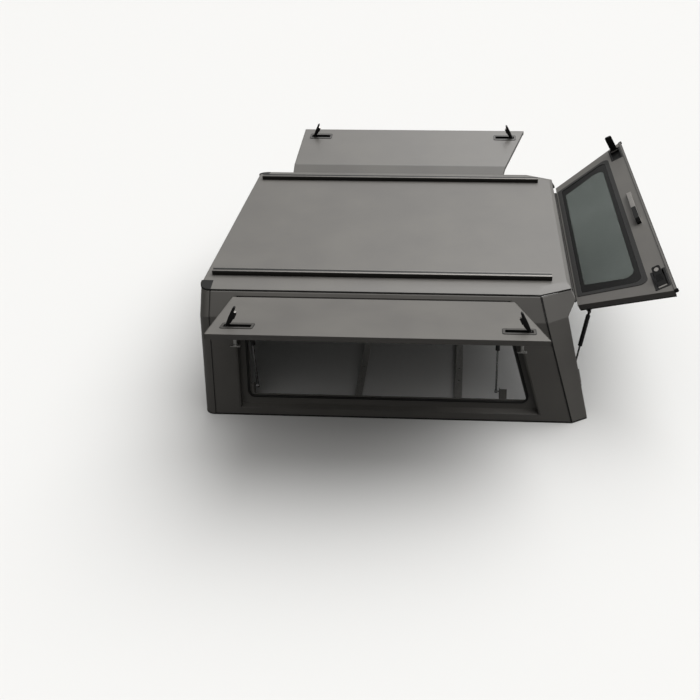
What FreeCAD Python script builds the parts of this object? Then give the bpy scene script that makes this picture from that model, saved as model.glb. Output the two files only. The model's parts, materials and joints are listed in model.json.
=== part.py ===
"""Sheet-metal pickup canopy: lift-up side doors, glazed rear door, roof tracks.

Millimetres. X runs from front to rear, Y across, Z up. Z = 0 is the underside of the base
gasket, X = 0 is the seam between the front panel and the side panels. The doors are drawn
open, as the canopy is shown; each joint closes its door from there.
"""
import FreeCAD, Part
import os
import math
import Sketcher

V = FreeCAD.Vector
os.makedirs("parts", exist_ok=True)
doc = FreeCAD.newDocument("canopy")

# Sizes that drive the canopy
SIZES = {
    # Cross-section: lower face, crease, upper face, roof
    "base_half_width": 785,
    "crease_half_width": 672,
    "seam_half_width": 606,
    "roof_half_width": 552,
    "crease_height": 415,
    "seam_height": 508,
    "roof_height": 519,
    "skin": 2.4,
    # Length, with the raked rear end
    "front_depth": 48,
    "front_corner_radius": 42,
    "side_length": 1493,
    "rear_slope": 0.292,
    "panel_gap": 3,
    "rear_gap": 6,
    "gasket_height": 5,
    "gasket_width": 60,
    "base_flange": 45,
    "seam_strip_height": 7,
    "seam_recess": 4,
    # Rear corner pillars
    "pillar_base_x": 1558,
    "pillar_base_y": 750,
    "pillar_crease_x": 1460,
    "pillar_bend_x": 1491,
    "pillar_bend_height": 466,
    "pillar_seam_x": 1471,
    "pillar_seam_y": 549,
    "pillar_flange": 25,
    "header_x": 1462,
    "header_depth": 32,
    "roof_rear_x": 1454,
    "roof_rear_y": 508,
    "roof_front_x": -40,
    "corner_cap_length": 50,
    # Front window
    "window_half_width": 470,
    "window_low": 120,
    "window_high": 400,
    "window_rim": 14,
    "pane": 5,
    # Side opening and its jamb
    "opening_front": 106,
    "opening_sill": 30,
    "opening_top": 490,
    "opening_rear": 1360,
    "jamb_depth": 40,
    "jamb_flange": 42,
    "door_seal_height": 8,
    "door_seal_width": 14,
    "strut_bracket_low": 48,
    # Side doors
    "hinge_half_width": 623,
    "hinge_height": 478,
    "door_gap": 8,
    "door_top": 472,
    "door_bottom": 42,
    "door_frame_depth": 20,
    "door_frame_width": 20,
    "door_fold": 24,
    "left_open_angle": 86,
    "right_open_angle": 83,
    "hinge_bead_radius": 4,
    # Latches of the side doors
    "latch_height": 121,
    "front_latch_x": 214,
    "rear_latch_x": 1240,
    "dish_length": 112,
    "dish_width": 44,
    "dish_depth": 24,
    "dish_rim": 4,
    "dish_rim_radius": 9,
    "lever_length": 86,
    "lever_width": 16,
    "lever_lean": 25,
    "lever_block_depth": 12,
    "cam_length": 34,
    # Rear door
    "rear_hinge_x": 1494,
    "rear_hinge_z": 436,
    "rear_open_angle": 29.1,
    "rear_door_length": 385,
    "rear_lip_width": 11,
    "rear_door_top_half": 574,
    "rear_door_low_half": 757,
    "rear_door_front": 9,
    "rear_outer_offset": 7,
    "rear_door_depth": 24,
    "glass_top": 26,
    "glass_low": 296,
    "glass_top_margin": 74,
    "glass_low_margin": 88,
    "glass_top_radius": 12,
    "glass_low_radius": 28,
    "rear_latch_along": 351,
    "rear_latch_margin": 114,
    "rear_latch_length": 136,
    "rear_latch_width": 60,
    "paddle_length": 102,
    "paddle_width": 34,
    "paddle_left_lift": 23,
    "paddle_right_lift": 75,
    "key_radius": 9,
    "pull_along": 348,
    "pull_length": 316,
    "pull_width": 20,
    "pull_gap": 18,
    # Roof tracks and cross bars
    "track_half_spacing": 495,
    "track_width": 30,
    "track_height": 20,
    "track_near_lip": 17,
    "track_slot": 8,
    "track_start": -14,
    "track_end": 1396,
    "cross_bar_width": 32,
    "cross_bar_front_x": 588,
    "cross_bar_rear_x": 1020,
    "bar_hole_out": 526,
    "bar_hole_pitch": 92,
    "bar_hole_radius": 4.5,
    # Gas struts
    "strut_front_x": 172,
    "strut_rear_x": 1178,
    "strut_foot_inset": 15,
    "strut_foot_z": 95,
    "strut_arm_out": 8,
    "strut_arm_down": 60,
    "strut_tube_radius": 9,
    "strut_rod_radius": 4,
    "strut_tube_length": 165,
    "strut_rod_length": 270,
    "rear_tube_length": 150,
    "rear_rod_length": 215,
    "rear_strut_inset": 9,
    "rear_strut_foot_x": 1506,
    "rear_strut_foot_z": 120,
    "rear_strut_arm": 40,
    "rear_strut_drop": 38,
}
sheet = doc.addObject("Spreadsheet::Sheet", "Sizes")
for row, (alias, value) in enumerate(SIZES.items(), 1):
    sheet.set("A%d" % row, alias.replace("_", " "))
    sheet.set("B%d" % row, str(value))
    sheet.setAlias("B%d" % row, alias)
doc.recompute()

LEFT = -1
RIGHT = 1


def lower(height):
    """Half-width of the lower face at a height."""
    return ("(Sizes.crease_half_width + (Sizes.base_half_width - Sizes.crease_half_width)"
            " * (1 - (%s) / Sizes.crease_height))" % height)


def upper(height):
    """Half-width of the upper face at a height."""
    return ("(Sizes.seam_half_width + (Sizes.crease_half_width - Sizes.seam_half_width)"
            " * (Sizes.seam_height - (%s)) / (Sizes.seam_height - Sizes.crease_height))" % height)


def raked(base_x, height):
    """X of a line that leans forward with the rear end of the side."""
    return "(%s - Sizes.rear_slope * (%s))" % (base_x, height)


def rear_half(along):
    """Half-width of the rear door at a distance from its hinge."""
    return ("(Sizes.rear_door_top_half + (Sizes.rear_door_low_half - Sizes.rear_door_top_half)"
            " * (%s) / Sizes.rear_door_length)" % along)


# Helpers for bodies, sketches and features
pieces = []


def form(name):
    """A body that is only a step towards a piece."""
    b = doc.addObject("PartDesign::Body", name)
    b.AllowCompound = True
    return b


def body(name):
    """A body that is a piece of the canopy."""
    b = form(name)
    pieces.append(b)
    return b


def joined(name, kind, base, tool):
    """A piece made of two forms by a boolean."""
    f = doc.addObject("Part::" + kind, name)
    f.Base = base
    f.Tool = tool
    pieces.append(f)
    return f


def origin_plane(b, role):
    return [f for f in b.Origin.OriginFeatures if f.Role == role][0]


def sketch(b, name, role, offset=None):
    sk = b.newObject("Sketcher::SketchObject", b.Name + "_" + name)
    sk.AttachmentSupport = [(origin_plane(b, role), "")]
    sk.MapMode = "FlatFace"
    if offset is not None:
        sk.setExpression("AttachmentOffset.Base.z", offset)
    return sk


def loop(sk, points):
    """Closed outline whose corners are each tied to the sheet."""
    n = len(points)
    first = sk.GeometryCount
    for i in range(n):
        a = 2 * math.pi * i / n
        c = 2 * math.pi * (i + 1) / n
        sk.addGeometry(Part.LineSegment(V(400 * math.cos(a), 300 * math.sin(a), 0),
                                        V(400 * math.cos(c), 300 * math.sin(c), 0)), False)
    for i in range(n):
        sk.addConstraint(Sketcher.Constraint("Coincident", first + i, 2, first + (i + 1) % n, 1))
    for i, (ex, ey) in enumerate(points):
        k = sk.addConstraint(Sketcher.Constraint("DistanceX", -1, 1, first + i, 1, 1.0))
        sk.setExpression("Constraints[%d]" % k, str(ex))
        k = sk.addConstraint(Sketcher.Constraint("DistanceY", -1, 1, first + i, 1, 1.0))
        sk.setExpression("Constraints[%d]" % k, str(ey))
    return sk


def circle(sk, ex, ey, er):
    g = sk.addGeometry(Part.Circle(V(10, 10, 0), V(0, 0, 1), 5), False)
    k = sk.addConstraint(Sketcher.Constraint("DistanceX", -1, 1, g, 3, 10.0))
    sk.setExpression("Constraints[%d]" % k, str(ex))
    k = sk.addConstraint(Sketcher.Constraint("DistanceY", -1, 1, g, 3, 10.0))
    sk.setExpression("Constraints[%d]" % k, str(ey))
    k = sk.addConstraint(Sketcher.Constraint("Radius", g, 5))
    sk.setExpression("Constraints[%d]" % k, str(er))
    return sk


def polygon(sk, sides, radius, ex="0", ey="0"):
    """Regular outline round a centre, with flats at the radius."""
    out = "((%s) / cos(%g))" % (radius, 180 / sides)
    turns = [360 / sides * (i + 0.5) for i in range(sides)]
    return loop(sk, [("%s + %s * cos(%g)" % (ex, out, a), "%s + %s * sin(%g)" % (ey, out, a)) for a in turns])


def rect(x0, x1, y0, y1):
    return [(x0, y0), (x1, y0), (x1, y1), (x0, y1)]


def pad(b, sk, length, both=False, back=False):
    f = b.newObject("PartDesign::Pad", sk.Name + "_pad")
    f.Profile = sk
    f.Midplane = both
    f.Reversed = back
    f.setExpression("Length", str(length))
    return f


def cut(b, sk, length=None, back=False):
    """Cut to a depth, or right through both ways when no depth is given."""
    f = b.newObject("PartDesign::Pocket", sk.Name + "_cut")
    f.Profile = sk
    f.Reversed = back
    if length is None:
        f.Midplane = True
        f.Type = "ThroughAll"
    else:
        f.setExpression("Length", str(length))
    return f


def upright(e, low=-math.inf, high=math.inf):
    """Whether a straight edge stands along Z between two heights."""
    a, c = [v.Point for v in e.Vertexes]
    return (a - c).cross(V(0, 0, 1)).Length < 0.01 and low < min(a.z, c.z) and max(a.z, c.z) < high


def soften(b, name, test, radius):
    """Round the edges of a body that pass a test."""
    doc.recompute()
    tip = b.Tip
    edges = ["Edge%d" % (i + 1) for i, e in enumerate(tip.Shape.Edges) if len(e.Vertexes) == 2 and test(e)]
    f = b.newObject("PartDesign::Fillet", b.Name + "_" + name)
    f.Base = (tip, edges)
    f.setExpression("Radius", radius)
    doc.recompute()
    return f


def signed(s, e):
    return "%d * (%s)" % (s, e)


FLOOR = "Sizes.gasket_height"
EAVE = "(Sizes.seam_height - Sizes.seam_strip_height)"
REAR_STRUT_Y = "(" + rear_half("Sizes.rear_strut_arm") + " - Sizes.rear_strut_inset)"
names = {LEFT: "left", RIGHT: "right"}

# Front panel: one sheet folded round both front corners
def front_outline(inset, low, high):
    """Cross-section of the front panel between two heights."""
    half = [(lower(low), low), ("Sizes.crease_half_width", "Sizes.crease_height"), (upper(high), high)]
    return ([(signed(RIGHT, y + inset), z) for y, z in half]
            + [(signed(LEFT, y + inset), z) for y, z in reversed(half)])


def round_front(b, x, radius):
    """Round the two folded front corners, which stand at a place along X."""
    soften(b, "corners", lambda e: all(abs(v.X - x) < 0.01 for v in e.Vertexes)
           and abs(e.Vertexes[0].Z - e.Vertexes[1].Z) > 1, radius)


outer_form = form("front_panel_form")
sk = sketch(outer_form, "section", "YZ_Plane", "-Sizes.front_depth")
pad(outer_form, loop(sk, front_outline("", FLOOR, EAVE)), "Sizes.front_depth - Sizes.panel_gap / 2")
round_front(outer_form, -sheet.front_depth, "Sizes.front_corner_radius")
throat = rect("-Sizes.window_half_width", "Sizes.window_half_width", "Sizes.window_low", "Sizes.window_high")
cut(outer_form, loop(sketch(outer_form, "window", "YZ_Plane"), throat))
inner_form = form("front_panel_hollow")
sk = sketch(inner_form, "section", "YZ_Plane", "-Sizes.front_depth + Sizes.skin")
hollow = front_outline(" - Sizes.skin", "-Sizes.skin", "Sizes.roof_height")
pad(inner_form, loop(sk, hollow), "Sizes.front_depth")
round_front(inner_form, sheet.skin - sheet.front_depth, "Sizes.front_corner_radius - Sizes.skin")
joined("front_panel", "Cut", outer_form, inner_form)

# Front window: fixed glass in a rubber profile that grips the sheet on both sides
b = body("front_window")
inset = "Sizes.window_rim / 2"
pane = rect("-Sizes.window_half_width + " + inset, "Sizes.window_half_width - " + inset,
            "Sizes.window_low + " + inset, "Sizes.window_high - " + inset)
pad(b, loop(sketch(b, "pane", "YZ_Plane", "-Sizes.front_depth"), pane), "Sizes.pane")

b = body("front_window_seal")
rim = "Sizes.window_rim"
wide = rect("-Sizes.window_half_width - " + rim, "Sizes.window_half_width + " + rim,
            "Sizes.window_low - " + rim, "Sizes.window_high + " + rim)
slim = rect("-Sizes.window_half_width + " + rim, "Sizes.window_half_width - " + rim,
            "Sizes.window_low + " + rim, "Sizes.window_high - " + rim)
pad(b, loop(loop(sketch(b, "lip", "YZ_Plane", "-Sizes.front_depth - 5"), wide), slim), "5")
pad(b, loop(loop(sketch(b, "throat", "YZ_Plane", "-Sizes.front_depth"), throat), pane), "Sizes.pane")
pad(b, loop(loop(sketch(b, "stop", "YZ_Plane", "-Sizes.front_depth + Sizes.pane"), throat), slim), "4")

# Roof: a tray folded down on all four sides, with its rear corners cut in
b = body("roof_panel")
eaves = [("-Sizes.front_depth", "-Sizes.seam_half_width"),
         (raked("Sizes.side_length", "Sizes.seam_height"), "-Sizes.seam_half_width"),
         ("Sizes.pillar_seam_x", "-Sizes.pillar_seam_y"),
         ("Sizes.pillar_seam_x", "Sizes.pillar_seam_y"),
         (raked("Sizes.side_length", "Sizes.seam_height"), "Sizes.seam_half_width"),
         ("-Sizes.front_depth", "Sizes.seam_half_width")]
flat = [("Sizes.roof_front_x", "-Sizes.roof_half_width"),
        (raked("Sizes.side_length", "Sizes.seam_height") + " - 4", "-Sizes.roof_half_width"),
        ("Sizes.roof_rear_x", "-Sizes.roof_rear_y"),
        ("Sizes.roof_rear_x", "Sizes.roof_rear_y"),
        (raked("Sizes.side_length", "Sizes.seam_height") + " - 4", "Sizes.roof_half_width"),
        ("Sizes.roof_front_x", "Sizes.roof_half_width")]
for kind, drop in (("AdditiveLoft", "0"), ("SubtractiveLoft", "Sizes.skin")):
    tag = "outer" if kind == "AdditiveLoft" else "inner"
    edge_sk = loop(sketch(b, tag + "_eaves", "XY_Plane", "Sizes.seam_height - " + drop), eaves)
    flat_sk = loop(sketch(b, tag + "_flat", "XY_Plane", "Sizes.roof_height - " + drop), flat)
    loft = b.newObject("PartDesign::" + kind, "roof_panel_" + tag)
    loft.Profile = edge_sk
    loft.Sections = [flat_sk]
    loft.Ruled = True
for s in (LEFT, RIGHT):
    notch = rect("-Sizes.front_depth - 10", "Sizes.corner_cap_length - Sizes.front_depth",
                 signed(s, "Sizes.roof_half_width"), signed(s, "Sizes.seam_half_width + 10"))
    cut(b, loop(sketch(b, "notch%d" % s, "XY_Plane"), notch))

# Moulded caps on the two front corners of the roof
b = body("roof_corner_caps")
for s in (LEFT, RIGHT):
    inner = "Sizes.roof_half_width"
    rear = "(Sizes.corner_cap_length - Sizes.front_depth)"
    cap = [("-Sizes.front_depth", signed(s, inner)),
           ("-Sizes.front_depth", signed(s, "Sizes.seam_half_width")),
           (rear, signed(s, "Sizes.seam_half_width")),
           (rear, signed(s, inner))]
    pad(b, loop(sketch(b, names[s] + "_block", "XY_Plane", "Sizes.seam_height"), cap),
        "Sizes.roof_height - Sizes.seam_height")
    slope = [(signed(s, inner), "Sizes.roof_height"),
             (signed(s, "Sizes.seam_half_width"), "Sizes.seam_height + 0.5"),
             (signed(s, "Sizes.seam_half_width + 10"), "Sizes.roof_height + 10"),
             (signed(s, inner), "Sizes.roof_height + 10")]
    cut(b, loop(sketch(b, names[s] + "_slope", "YZ_Plane"), slope))
soften(b, "outer_corners", lambda e: upright(e) and e.Vertexes[0].X < 0.01 - sheet.front_depth
       and abs(e.Vertexes[0].Y) > sheet.roof_half_width + 1, "Sizes.front_corner_radius")

# Rubber strip in the seam between roof and walls
b = body("roof_seam_seal")


def eaves_inset(d):
    k = " - %s" % d
    seam_x = raked("Sizes.side_length", "Sizes.seam_height")
    ring = [("-Sizes.front_depth + %s" % d, "Sizes.seam_half_width" + k),
            (seam_x + " - 0.2 * %s" % d, "Sizes.seam_half_width" + k),
            ("Sizes.pillar_seam_x" + k, "Sizes.pillar_seam_y - 0.6 * %s" % d)]
    return [(x, "-(%s)" % y) for x, y in ring] + [(x, y) for x, y in reversed(ring)]


strip = loop(loop(sketch(b, "strip", "XY_Plane", EAVE), eaves_inset("Sizes.seam_recess")), eaves_inset("16"))
pad(b, strip, "Sizes.seam_strip_height")
strip_front = sheet.seam_recess + 0.01 - sheet.front_depth
soften(b, "front_corners", lambda e: upright(e) and e.Vertexes[0].X < strip_front,
       "Sizes.front_corner_radius - Sizes.seam_recess")

# Base gasket: one rubber strip under the front, side and corner panels
b = body("base_gasket")
outer = [("-Sizes.front_depth", "Sizes.base_half_width"),
         ("Sizes.side_length", "Sizes.base_half_width"),
         ("Sizes.pillar_base_x", "Sizes.pillar_base_y"),
         ("Sizes.pillar_base_x", "Sizes.pillar_base_y - Sizes.gasket_width"),
         ("Sizes.side_length - 8", "Sizes.base_half_width - Sizes.gasket_width"),
         ("-Sizes.front_depth + Sizes.gasket_width", "Sizes.base_half_width - Sizes.gasket_width")]
ring = [(x, "-(%s)" % y) for x, y in outer] + [(x, y) for x, y in reversed(outer)]
pad(b, loop(sketch(b, "strip", "XY_Plane"), ring), "Sizes.gasket_height")
soften(b, "front_corners", lambda e: upright(e) and e.Vertexes[0].X < 0.01 - sheet.front_depth,
       "Sizes.front_corner_radius")

# Side panels: base flange, lower face, crease, upper face and top flange folded from one sheet
def opening(inset):
    """Outline of the side opening, set in by a distance on every edge."""
    inset = "(%s)" % inset
    x0 = "Sizes.opening_front + %s" % inset
    z0 = "Sizes.opening_sill + %s" % inset
    z1 = "Sizes.opening_top - %s" % inset
    rear = "Sizes.opening_rear + Sizes.rear_slope * Sizes.opening_sill - 1.04 * (%s)" % inset
    return [(x0, z0), (raked("(" + rear + ")", z0), z0), (raked("(" + rear + ")", z1), z1), (x0, z1)]


def band(s, near, far, low, high):
    """Strip of the cross-section between two depths behind the outer face."""
    pts = []
    for d in (near, far):
        line = [(lower(low) + " - " + d, low), ("Sizes.crease_half_width - " + d, "Sizes.crease_height"),
                (upper(high) + " - " + d, high)]
        pts += line if d is near else list(reversed(line))
    return [(signed(s, y), z) for y, z in pts]


def strut_foot_out():
    """Half-width at which the side struts stand on their brackets."""
    return "(" + lower("Sizes.strut_foot_z") + " - Sizes.jamb_depth - Sizes.strut_foot_inset)"


def beyond(outline):
    """A wide frame round an outline, for cutting away everything outside it."""
    frame = rect("-Sizes.side_length", "2 * Sizes.side_length",
                 "-2 * Sizes.roof_height", "2 * Sizes.roof_height")
    return frame, outline


def plane_of(a, b, c, out):
    """Unit normal of the plane through three points, turned towards a direction."""
    n = (b - a).cross(c - a).normalize()
    return n if n.dot(out) > 0 else n.negative()


def crossing(n1, a1, n2, a2, n3, a3):
    """Point where three planes meet, each given by its normal and a point."""
    top = n2.cross(n3) * n1.dot(a1) + n3.cross(n1) * n2.dot(a2) + n1.cross(n2) * n3.dot(a3)
    return top * (1 / n1.dot(n2.cross(n3)))


def into(point, faces, edges):
    """Corner of the inner skin: in from the faces by the sheet, and along the cut edges."""
    rows = [(n, -sheet.skin) for n in faces] + [(n, 0) for n in edges]
    m = FreeCAD.Matrix(*[sum(n[i] * n[j] for n, d in rows) if max(i, j) < 3 else float(i == j)
                         for i in range(4) for j in range(4)])
    pull = V(*[sum(n[i] * d for n, d in rows) for i in range(3)])
    return point + m.inverse().multVec(pull)


def facets(outline):
    """Flat face on an outline, or triangles where its corners aren't in one plane."""
    n = (outline[1] - outline[0]).cross(outline[2] - outline[0]).normalize()
    if all(abs(n.dot(p - outline[0])) < 0.000001 for p in outline):
        return [Part.Face(Part.makePolygon(outline + outline[:1]))]
    fan = [(outline[0], p, q) for p, q in zip(outline[1:], outline[2:])]
    return [Part.Face(Part.makePolygon([a, p, q, a])) for a, p, q in fan]


def pillar_sheet(s):
    """Corner sheet folded along oblique lines: lower and upper face, with a flange down its rear edge."""
    floor = float(sheet.gasket_height)
    eave = float(sheet.seam_height - sheet.seam_strip_height)
    lean = (sheet.base_half_width - sheet.crease_half_width) / sheet.crease_height
    tilt = (sheet.crease_half_width - sheet.seam_half_width) / (sheet.seam_height - sheet.crease_height)
    out = V(0, s, 0)
    back = V(1, 0, 0)

    def seam(z):
        y = sheet.crease_half_width - (z - sheet.crease_height) * (lean if z < sheet.crease_height else tilt)
        return V(sheet.side_length + sheet.rear_gap / 2 - sheet.rear_slope * z, s * y, z)

    f0, f1, f2 = seam(floor), seam(float(sheet.crease_height)), seam(eave)
    b0 = V(sheet.pillar_base_x, s * sheet.pillar_base_y, floor)
    top = V(sheet.pillar_seam_x, s * sheet.pillar_seam_y, eave)
    low_n = plane_of(f0, f1, b0, out)
    high_n = plane_of(f1, f2, top, out)
    crease = crossing(low_n, f1, high_n, f1, back, V(sheet.pillar_crease_x, 0, 0))
    bend_level = V(0, 0, sheet.pillar_bend_height)
    bend = crossing(back, V(sheet.pillar_bend_x, 0, 0), V(0, 0, 1), bend_level, high_n, f1)
    rear = [b0, crease, bend, top]
    fold = V(0, -s * sheet.pillar_flange, 0)
    flange = [p + fold for p in rear]
    slopes = [plane_of(p, q, p + fold, back) for p, q in zip(rear, rear[1:])]
    seam_n = V(-1, 0, -sheet.rear_slope).normalize()
    down, up, inward = V(0, 0, -1), V(0, 0, 1), V(0, -s, 0)
    f0_in = into(f0, [low_n], [down, seam_n])
    f1_in = into(f1, [low_n, high_n], [seam_n])
    f2_in = into(f2, [high_n], [up, seam_n])
    rear_in = [into(b0, [low_n, slopes[0]], [down]),
               into(crease, [low_n, high_n, slopes[0], slopes[1]], []),
               into(bend, [high_n, slopes[1], slopes[2]], []),
               into(top, [high_n, slopes[2]], [up])]
    flange_in = [into(flange[0], [slopes[0]], [down, inward]),
                 into(flange[1], [slopes[0], slopes[1]], [inward]),
                 into(flange[2], [slopes[1], slopes[2]], [inward]),
                 into(flange[3], [slopes[2]], [up, inward])]
    outer = [[f0, b0, crease, f1], [f1, crease, bend, top, f2]]
    inner = [[f0_in, rear_in[0], rear_in[1], f1_in], [f1_in, rear_in[1], rear_in[2], rear_in[3], f2_in]]
    for i in range(3):
        outer.append([rear[i], flange[i], flange[i + 1], rear[i + 1]])
        inner.append([rear_in[i], flange_in[i], flange_in[i + 1], rear_in[i + 1]])
    edge = [f0, f1, f2, top] + flange[::-1] + [b0, f0]
    edge_in = [f0_in, f1_in, f2_in, rear_in[3]] + flange_in[::-1] + [rear_in[0], f0_in]
    rim = [[p, q, q_in, p_in] for p, q, p_in, q_in in zip(edge, edge[1:], edge_in, edge_in[1:])]
    faces = [f for outline in outer + inner + rim for f in facets(outline)]
    shell = Part.makeShell(faces)
    shell.sewShape()
    solid = Part.makeSolid(shell)
    if solid.Volume < 0:
        solid.reverse()
    f = doc.addObject("Part::Feature", names[s] + "_pillar_sheet")
    f.Shape = solid
    return f


for s in (LEFT, RIGHT):
    side = names[s]
    b = body(side + "_side_panel")
    t = "Sizes.skin"
    fold = [(lower(FLOOR), FLOOR), ("Sizes.crease_half_width", "Sizes.crease_height"), (upper(EAVE), EAVE),
            (upper(EAVE) + " - 24", EAVE), (upper(EAVE) + " - 24", EAVE + " - " + t),
            (upper(EAVE + " - " + t) + " - " + t, EAVE + " - " + t),
            ("Sizes.crease_half_width - " + t, "Sizes.crease_height"),
            (lower(FLOOR + " + " + t) + " - " + t, FLOOR + " + " + t),
            (lower(FLOOR) + " - Sizes.base_flange", FLOOR + " + " + t),
            (lower(FLOOR) + " - Sizes.base_flange", FLOOR)]
    sk = sketch(b, "section", "YZ_Plane", "Sizes.panel_gap / 2")
    pad(b, loop(sk, [(signed(s, y), z) for y, z in fold]), "Sizes.side_length")
    rear = "(Sizes.side_length - Sizes.rear_gap / 2)"
    cut(b, loop(sketch(b, "rake", "XZ_Plane"), [(raked(rear, "-20"), "-20"), ("2200", "-20"), ("2200", "700"),
                                               (raked(rear, "700"), "700")]))
    cut(b, loop(sketch(b, "opening", "XZ_Plane"), opening("0")))

    # Jamb: the recess behind the opening, with the flange that carries the seal
    b = body(side + "_door_jamb")
    sk = loop(loop(sketch(b, "wall", "XZ_Plane", signed(-s, "500")), opening("0")), opening("Sizes.skin"))
    pad(b, sk, "340", back=(s == RIGHT))
    cut(b, loop(sketch(b, "outside", "YZ_Plane"), [(signed(s, y), z) for y, z in (
        (lower("-30"), "-30"), ("Sizes.crease_half_width", "Sizes.crease_height"), (upper("600"), "600"),
        ("950", "600"), ("950", "-30"))]))
    deep = " - Sizes.jamb_depth"
    cut(b, loop(sketch(b, "inside", "YZ_Plane"), [(signed(s, y), z) for y, z in (
        (lower("-30") + deep, "-30"), ("Sizes.crease_half_width" + deep, "Sizes.crease_height"),
        (upper("600") + deep, "600"), ("300", "600"), ("300", "-30"))]))
    flange = band(s, "(Sizes.jamb_depth - Sizes.skin)", "Sizes.jamb_depth", "0", "560")
    pad(b, loop(sketch(b, "flange", "YZ_Plane", "60"), flange), "1340")
    wide, hole = beyond(opening("0"))
    cut(b, loop(loop(sketch(b, "trim", "XZ_Plane"), wide), hole))
    cut(b, loop(sketch(b, "clear", "XZ_Plane"), opening("Sizes.jamb_flange")))
    # brackets for the feet of the two struts, each with its pin
    fz = "Sizes.strut_foot_z"
    fo = strut_foot_out()
    low = "Sizes.strut_bracket_low"
    high = "(Sizes.strut_foot_z + 18)"
    for tag, near, start, pin_start in (("front", "-44", "-15", "-14"), ("rear", "12", "12", "-7")):
        sx = "Sizes.strut_%s_x + (%%s)" % tag
        foot = [(lower(low) + deep, low), (lower(high) + deep, high),
                (lower(high) + deep + " - 3", high), (lower(low) + deep + " - 3", low)]
        sk = sketch(b, tag + "_foot", "YZ_Plane", sx % near)
        pad(b, loop(sk, [(signed(s, y), z) for y, z in foot]), "32")
        plate = [(lower(low) + deep, low), (lower(high) + deep, high),
                 (fo + " - 9", fz + " + 12"), (fo + " - 9", fz + " - 12")]
        sk = sketch(b, tag + "_plate", "YZ_Plane", sx % start)
        pad(b, loop(sk, [(signed(s, y), z) for y, z in plate]), "3")
        pin = sketch(b, tag + "_pin", "YZ_Plane", sx % pin_start)
        pad(b, polygon(pin, 8, "2.8", signed(s, fo), fz), "21")

    # Seal: rubber ring standing on the flange
    b = body(side + "_door_seal")
    strip = band(s, "(Sizes.jamb_depth - Sizes.skin - Sizes.door_seal_height)",
                 "(Sizes.jamb_depth - Sizes.skin)", "0", "560")
    pad(b, loop(sketch(b, "strip", "YZ_Plane", "60"), strip), "1340")
    wide, hole = beyond(opening("Sizes.jamb_flange - 2 - Sizes.door_seal_width"))
    cut(b, loop(loop(sketch(b, "trim", "XZ_Plane"), wide), hole))
    cut(b, loop(sketch(b, "clear", "XZ_Plane"), opening("Sizes.jamb_flange - 2")))

    # Hinge rail: bead that the door hooks on, with its neck and fixing leaf
    b = body(side + "_hinge_rail")
    head = "Sizes.opening_top - Sizes.skin"
    ho = "Sizes.hinge_half_width"
    hz = "Sizes.hinge_height"
    leaf = [(ho + " - 1", hz + " + 1"), (ho + " - 6", head + " - 2.4"), (ho + " - 30", head + " - 2.4"),
            (ho + " - 30", head), (ho + " - 4.5", head), (ho + " + 1", hz + " + 2.5")]
    x0 = "Sizes.opening_front + Sizes.door_gap + 6"
    rail_end = raked("Sizes.opening_rear", "Sizes.hinge_height - Sizes.opening_sill")
    long = rail_end + " - Sizes.opening_front - 26"
    pad(b, loop(sketch(b, "leaf", "YZ_Plane", x0), [(signed(s, y), z) for y, z in leaf]), long)
    pad(b, circle(sketch(b, "bead", "YZ_Plane", x0), signed(s, ho), hz, "Sizes.hinge_bead_radius"), long)

    # Roof track: slotted extrusion along the roof, its slot nearer the +Y edge on both sides
    b = body(side + "_roof_track")
    y0 = "(%s - Sizes.track_width / 2)" % signed(s, "Sizes.track_half_spacing")
    y1 = "(%s + Sizes.track_width)" % y0
    a0 = "(%s + Sizes.track_near_lip)" % y0
    a1 = "(%s + Sizes.track_slot)" % a0
    z0 = "Sizes.roof_height"
    z1 = "(Sizes.roof_height + Sizes.track_height)"
    section = [(y0, z0), (y1, z0), (y1, z1), (a1, z1), (a1, z1 + " - 3"), (a1 + " + 2.5", z1 + " - 3"),
               (a1 + " + 2.5", z1 + " - 11"), (a0 + " - 8", z1 + " - 11"), (a0 + " - 8", z1 + " - 3"),
               (a0, z1 + " - 3"), (a0, z1), (y0 + " + 2", z1), (y0, z1 + " - 2")]
    sk = sketch(b, "section", "YZ_Plane", "Sizes.track_start")
    pad(b, loop(sk, section), "Sizes.track_end - Sizes.track_start")

    # Rear corner pillar: its bracket first, with the flange that lies on the gasket
    b = form(side + "_pillar_bracket")
    foot_x = "Sizes.rear_strut_foot_x"
    foot_z = "Sizes.rear_strut_foot_z"
    tab = rect(foot_x + " - 14", foot_x + " + 23", foot_z + " - 20", foot_z + " + 20")
    tab_y = "(" + REAR_STRUT_Y + " + 10)"
    pad(b, loop(sketch(b, "tab", "XZ_Plane", signed(-s, tab_y)), tab), "3", back=(s == RIGHT))
    web = rect(signed(s, tab_y), signed(s, "Sizes.pillar_base_y - Sizes.pillar_flange - 22"),
               foot_z + " - 20", foot_z + " + 20")
    pad(b, loop(sketch(b, "web", "YZ_Plane", foot_x + " + 20"), web), "3")
    stud = sketch(b, "stud", "XZ_Plane", signed(-s, tab_y + " - 2.5"))
    pad(b, polygon(stud, 8, "4", foot_x, foot_z), "3", back=(s == RIGHT))
    seam_foot = raked("Sizes.side_length", FLOOR) + " + Sizes.rear_gap / 2"
    flange = [(seam_foot, lower(FLOOR) + " - 1"), ("Sizes.pillar_base_x - 1", "Sizes.pillar_base_y - 1"),
              ("Sizes.pillar_base_x - 1", "Sizes.pillar_base_y - Sizes.base_flange"),
              (seam_foot, lower(FLOOR) + " - Sizes.base_flange")]
    sk = sketch(b, "base_flange", "XY_Plane", FLOOR)
    pad(b, loop(sk, [(x, signed(s, y)) for x, y in flange]), "Sizes.skin")
    joined(side + "_rear_pillar", "Fuse", b, pillar_sheet(s))

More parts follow.
